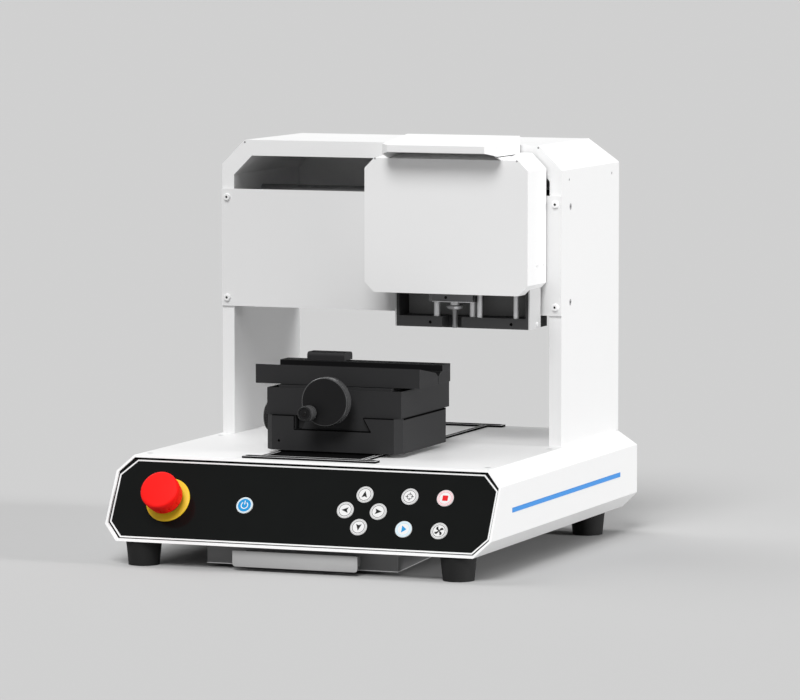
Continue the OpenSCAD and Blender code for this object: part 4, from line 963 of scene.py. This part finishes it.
def vise_gaps():
    """Black strips painted as the shade in the gaps round the dovetail and between the two blocks, and a dark
    plate on the stop's front painted as shade.
    """
    low, high = faces("vise_base")
    left, right, bottom, top, seam = -42.5, 33.7, 134.1, high.z - 0.1, high.z - 0.35
    front = low.y - 0.081
    for name, points, width, face in (
            ("way_gap", [(left, top), (left, bottom), (41.9, bottom), (right, top)], 0.8, front - 0.02),
            ("block_gap", [(right, seam), (high.x - 8, seam)], 0.7, front),
            ("block_gap_left", [(low.x + 8, seam), (left, seam)], 0.7, front)):
        mount_piece(stroke(name, points, width, face), "table", "gap")
    mount_block("block_gap_side", (high.x - 0.5, -114.5, high.z - 1.5), (high.x + 0.1, 7.7, high.z + 0.12),
                0.1, "table", "gap", segments=1)
    mount_block("stop_face_painted_shade", (-90.4, -43.4, 191.8), (90.4, -42.9, 197.85), 0.1,
                "rear_jaw", "table", segments=1)


def vise_screws():
    """The gib's screws, the clamp screws on the table and the screws in the stop plate."""
    side, seat, plate = faces("vise_base")[0].x, faces("y_table")[1].z, 198.0
    gib = [facing((side, y, 141.0), LEFT) for y in (-105, -45, -15)]
    mount_copies("gib_screws", button_screw(3.2, 1.5, 1.2), gib, "table", "black_plastic")
    clamps = [facing((x, 14, seat), UP) for x in (-52, 40)]
    mount_copies("table_screws", button_screw(3.4, 1.6, 1.4), clamps, "table", "black_plastic")
    spots = [facing((x, -25.5, plate), UP) for x in (-80, 20, 78)]
    mount_copies("stop_plate_screws", countersunk(3.0, 1.2, 1.2), spots, "rear_jaw", "black_plastic")


# ---- the table and its rails ----

def stepped_table():
    """The table: a low front ledge between the rails and the raised seat of the vise."""
    low, high = faces("y_table")
    front, rear, step, ledge = -155.7, 20.3, -119.4, 110.0
    table = cut_plate("stepped_table", [
        (front, low.z), (rear, low.z), (rear, high.z), (step + 0.8, high.z), (step, high.z - 0.8),
        (step, ledge), (front + 0.6, ledge), (front, ledge - 0.6)], high.x - low.x)
    soften(table, 0.15, 1)
    # The side is drawn to the rear and up, and its thickness runs to the right.
    place(table, Matrix(((0, 0, 1, low.x * MM), (1, 0, 0, 0), (0, 1, 0, 0), (0, 0, 0, 1))))
    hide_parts("y_table")
    mount_piece(table, "table", "table")


def rail_beads():
    """Bright beads along both edges of each rail and round both cross strips: the rails' bright chamfers,
    with the highlight they catch painted into their colour.
    """
    low, high = faces("slide_frame")
    width, end_width, sole = 0.7, 2.1, high.z - 0.05
    rail_front, rail_rear = -160.6, 198.9
    beads = [block("bead", (x, rail_front, sole), (x + width, rail_rear, sole + 0.45), 0.12)
             for x in (-63.0, -58.7, 46.0, 50.3)]
    for front, rear in ((-173.7, rail_front - 0.1), (rail_rear + 0.1, high.y)):
        beads += [block("bead", (low.x, y, sole), (high.x, y + width, sole + 0.4), 0.1)
                  for y in (front, rear - width)]
        beads += [block("bead", (x, front + 0.8, sole), (x + end_width, rear - 0.8, sole + 0.4), 0.1)
                  for x in (low.x, high.x - end_width)]
    mount_piece(joined("rail_beads", beads), "base", "bead")


# ---- screws of the drives ----

def threaded(name, radius, length, lead):
    """A screw along +Z from 0 to its length, with a real helical thread round its core."""
    depth, rooted, chamfer = 0.6, 0.15, 0.3
    core = radius - depth
    rod = turned(name + "_core", [(0, 0), (core - chamfer, 0), (core, chamfer), (core, length - chamfer),
                                  (core - chamfer, length), (0, length)], 32)
    # The thread's section, in shares of its lead: up one flank, along the crest and down the other.
    root, start, flank, crest = core - rooted, 0.3, 0.12, 0.22
    draw_line([(root, 0, lead * start), (radius, 0, lead * (start + flank)),
               (radius, 0, lead * (start + flank + crest)), (root, 0, lead * (start + 2 * flank + crest))])
    select_whole()
    bpy.ops.mesh.edge_face_add()
    bpy.ops.mesh.delete(type="ONLY_FACE")
    put_down()
    ridge = fresh(name + "_ridge")
    winding = ridge.modifiers.new("winding", "SCREW")
    winding.axis = "Z"
    winding.screw_offset = lead * MM
    winding.iterations = int(length / lead) - 1
    winding.steps = winding.render_steps = 20
    apply_modifiers(ridge)
    pick(ridge, "VERT", everything)
    bpy.ops.mesh.remove_doubles(threshold=1e-6)
    bpy.ops.mesh.fill_holes(sides=0)
    return joined(name, [rod, put_away(name + "_ridge")])


def drive_screws():
    """The lead screws of the table, the head and the spindle slide."""
    for name, node, radius, length, lead, spot, body in (
            ("y_thread", "y_lead_screw", 4, 342, 5, facing((0, -157.7, 70), REAR), "y_screw"),
            ("x_thread", "x_lead_screw", 4, 327.2, 5, facing((-150.6, 120.3, 327.6), RIGHT), "x_screw"),
            ("z_thread", "z_lead_screw", 3, 92, 4, facing((130, 14.5, 269), UP), "z_screw")):
        screw = place(threaded(name, radius, length, lead), spot)
        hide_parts(node)
        mount_piece(screw, body, "steel", 40)


# ---- the spindle and the head's sheets ----

def spindle_clamp():
    """The clamp plate on the spindle block, with a light strip along its lower edge painted as the highlight
    on that edge, and its screw.
    """
    sole = faces("spindle_block")[0].z
    mount_block("clamp_plate", (62.6, -1.3, sole + 0.2), (107.9, 0.45, sole + 56), 0.5,
                "spindle_slide", "cast_grey")
    mount_block("clamp_lip_highlight", (62.9, -1.5, sole - 0.4), (107.6, 0.3, sole + 0.5), 0.2,
                "spindle_slide", "bright_post")
    spot = facing((78.2, -1.34, sole + 4.4), FRONT)
    mount_copies("clamp_screw", countersunk(1.6, 1.0, 0.9), [spot], "spindle_slide", "ink")


def collet_and_cutter():
    """The collet nut and the straight cutter in it."""
    axis = facing((83.4, 12.5, faces("spindle_block")[0].z), UP)
    collet = turned("collet_nut", [
        (0, -8.6), (3.1, -8.6), (3.1, -8.9), (6.0, -8.6), (7.6, -7.8), (8.7, -6.4), (9.0, -5.4), (8.8, -5.0),
        (5.6, -4.6), (5.0, -4.0), (5.0, 14.0), (0, 14.0)], 64)
    place(collet, axis)
    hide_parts("spindle_collet")
    mount_piece(collet, "spindle", "bright_post")
    shank = turned("cutter_shank", [(0, -28), (2.5, -27.9), (2.9, -27.4), (2.9, -8.8), (0, -8.8)], 40)
    place(shank, axis)
    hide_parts("cutter")
    mount_piece(shank, "spindle", "cutter_grey")


def hood_gap():
    """A black strip painted as the shade in the gap under the right side of the hood."""
    side = faces("hood")[1].x
    mount_block("hood_gap", (side - 0.2, -33.5, 412.4), (side + 0.12, 31.0, 413.2), 0.08,
                "head", "gap", segments=1)


def cage_sheets():
    """The textured back sheet of the cage, and the black guard behind the cutter."""
    black = "frame_black"
    mount_block("cage_back_sheet", (25.2, 30.5, 244.1), (164.8, 31.0, 284), 0.1,
                "head", "cage_grey", segments=1)
    mount_block("cutter_guard", (72.6, 22.0, 233.2), (94.2, 23.4, 243.9), 0.2, "head", black)
    mount_block("guard_lip", (65.0, 22.0, 231.3), (88.0, 24.5, 232.95), 0.2, "head", black)


def socket_shades():
    """Black hexagons painted as the shade at the bottoms of the sockets in the cover screws."""
    spots = [facing((s * 184.7, 37.08, z), FRONT) for s in BOTH for z in (254.1, 361.1)]
    hexagon = cut_plate("socket", around(1.42, range(0, 360, 60)), 0.25)
    mount_copies("cover_screw_sockets", hexagon, spots, "base", "ink")


# ---- the chip tray ----

def tray_pull_plate():
    """The tray's pull plate, with its rounded corners and two webs behind it."""
    low, high = faces("tray_pull")
    sheet, lower, upper = 1.2, 3.4, 0.8
    outline = []
    for x, z, radius, start in ((low.x + lower, low.z + lower, lower, 180),
                                (high.x - lower, low.z + lower, lower, 270),
                                (high.x - upper, high.z - upper, upper, 0),
                                (low.x + upper, high.z - upper, upper, 90)):
        outline += around(radius, range(start, start + 91, 15), x, z)
    pull = cut_plate("rounded_pull", outline, sheet)
    soften(pull, 0.2, 2, 50)
    place(pull, Matrix.Translation(mm(0, low.y + sheet, 0)) @ Matrix.Rotation(math.pi / 2, 4, "X"))
    webs = [block("pull_web", (s * 62 - 1, low.y + 1.1, 8), (s * 62 + 1, high.y, 18), 0.2) for s in BOTH]
    whole = joined("tray_pull_plate", [pull] + webs)
    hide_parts("tray_pull")
    mount_piece(whole, "tray", "grey_sheet")


def tray_hem():
    """The bare folded hem round the front and the two sloping sides of the tray."""
    low, high = faces("chip_tray")
    side, front, slope = 104, low.y - 0.4, math.radians(2.5)
    tilt = (Matrix.Translation(mm(0, front, low.z + 0.45)) @ Matrix.Rotation(slope, 4, "X")
            @ Matrix.Translation(mm(0, -front, 0)))
    hems = [block("hem", (-side - 0.1, low.y - 0.6, low.z), (side + 0.1, low.y + 0.2, low.z + 0.8), 0.15)]
    for s in BOTH:
        rail = block("hem", (s * side - 0.4, front, -0.45), (s * side + 0.4, high.y - 0.2, 0.35), 0.15)
        hems.append(place(rail, tilt))
    mount_piece(joined("tray_hem", hems), "tray", "bright_post")


# ---- the rear face ----

def rear_details():
    """The blades and flange screws of the mains inlet, the square data socket, and the fan's screws."""
    inlet, fan = middle("power_inlet"), middle("fan_frame")
    flange, rear = faces("power_inlet")[1].y, faces("base_shell")[1].y
    blades = []
    for x, z in ((inlet.x - 6.5, inlet.z - 2.5), (inlet.x, inlet.z + 2.5), (inlet.x + 6.5, inlet.z - 2.5)):
        blades.append(block("blade", (x - 1, 216.2, z - 2), (x + 1, 229.5, z + 2), 0.3))
    mount_piece(joined("inlet_blades", blades), "base", "brass")
    spots = [facing((inlet.x + s * 20, flange, inlet.z), REAR) for s in BOTH]
    spots += [facing((fan.x + s * 24, rear, fan.z + t * 24), REAR) for s in BOTH for t in BOTH]
    mount_copies("rear_screws", button_screw(2.9, 1.6, 1.0), spots, "base", "zinc")
    mount_block("socket_mouth", (-175.4, 231.2, 38.1), (-164.6, 231.6, 44.9), 0.1, "base", "ink")
    shell = [block("shell", (x - 0.4, 231.2, 37.5), (x + 0.4, 232.4, 45.5), 0.15) for x in (-175.6, -164.4)]
    shell += [block("shell", (-176, 231.2, z - 0.4), (-164, 232.4, z + 0.4), 0.15) for z in (37.9, 45.1)]
    mount_piece(joined("socket_shell", shell), "base", "zinc")
    mount_block("socket_tongue", (-172.8, 231.3, 40.2), (-167.2, 232.2, 43.4), 0.3, "base", "line_white")


set_camera()
lay_floor()
set_light()
paint_nodes()
panel_line()
button_prints()
stop_mushroom()
stop_ring()
base_screws()
portal_screws()
head_screws()
hand_wheel()
crank_knob()
lock_handle()
vise_gaps()
vise_screws()
stepped_table()
rail_beads()
drive_screws()
spindle_clamp()
collet_and_cutter()
hood_gap()
tray_pull_plate()
tray_hem()
cage_sheets()
socket_shades()
rear_details()
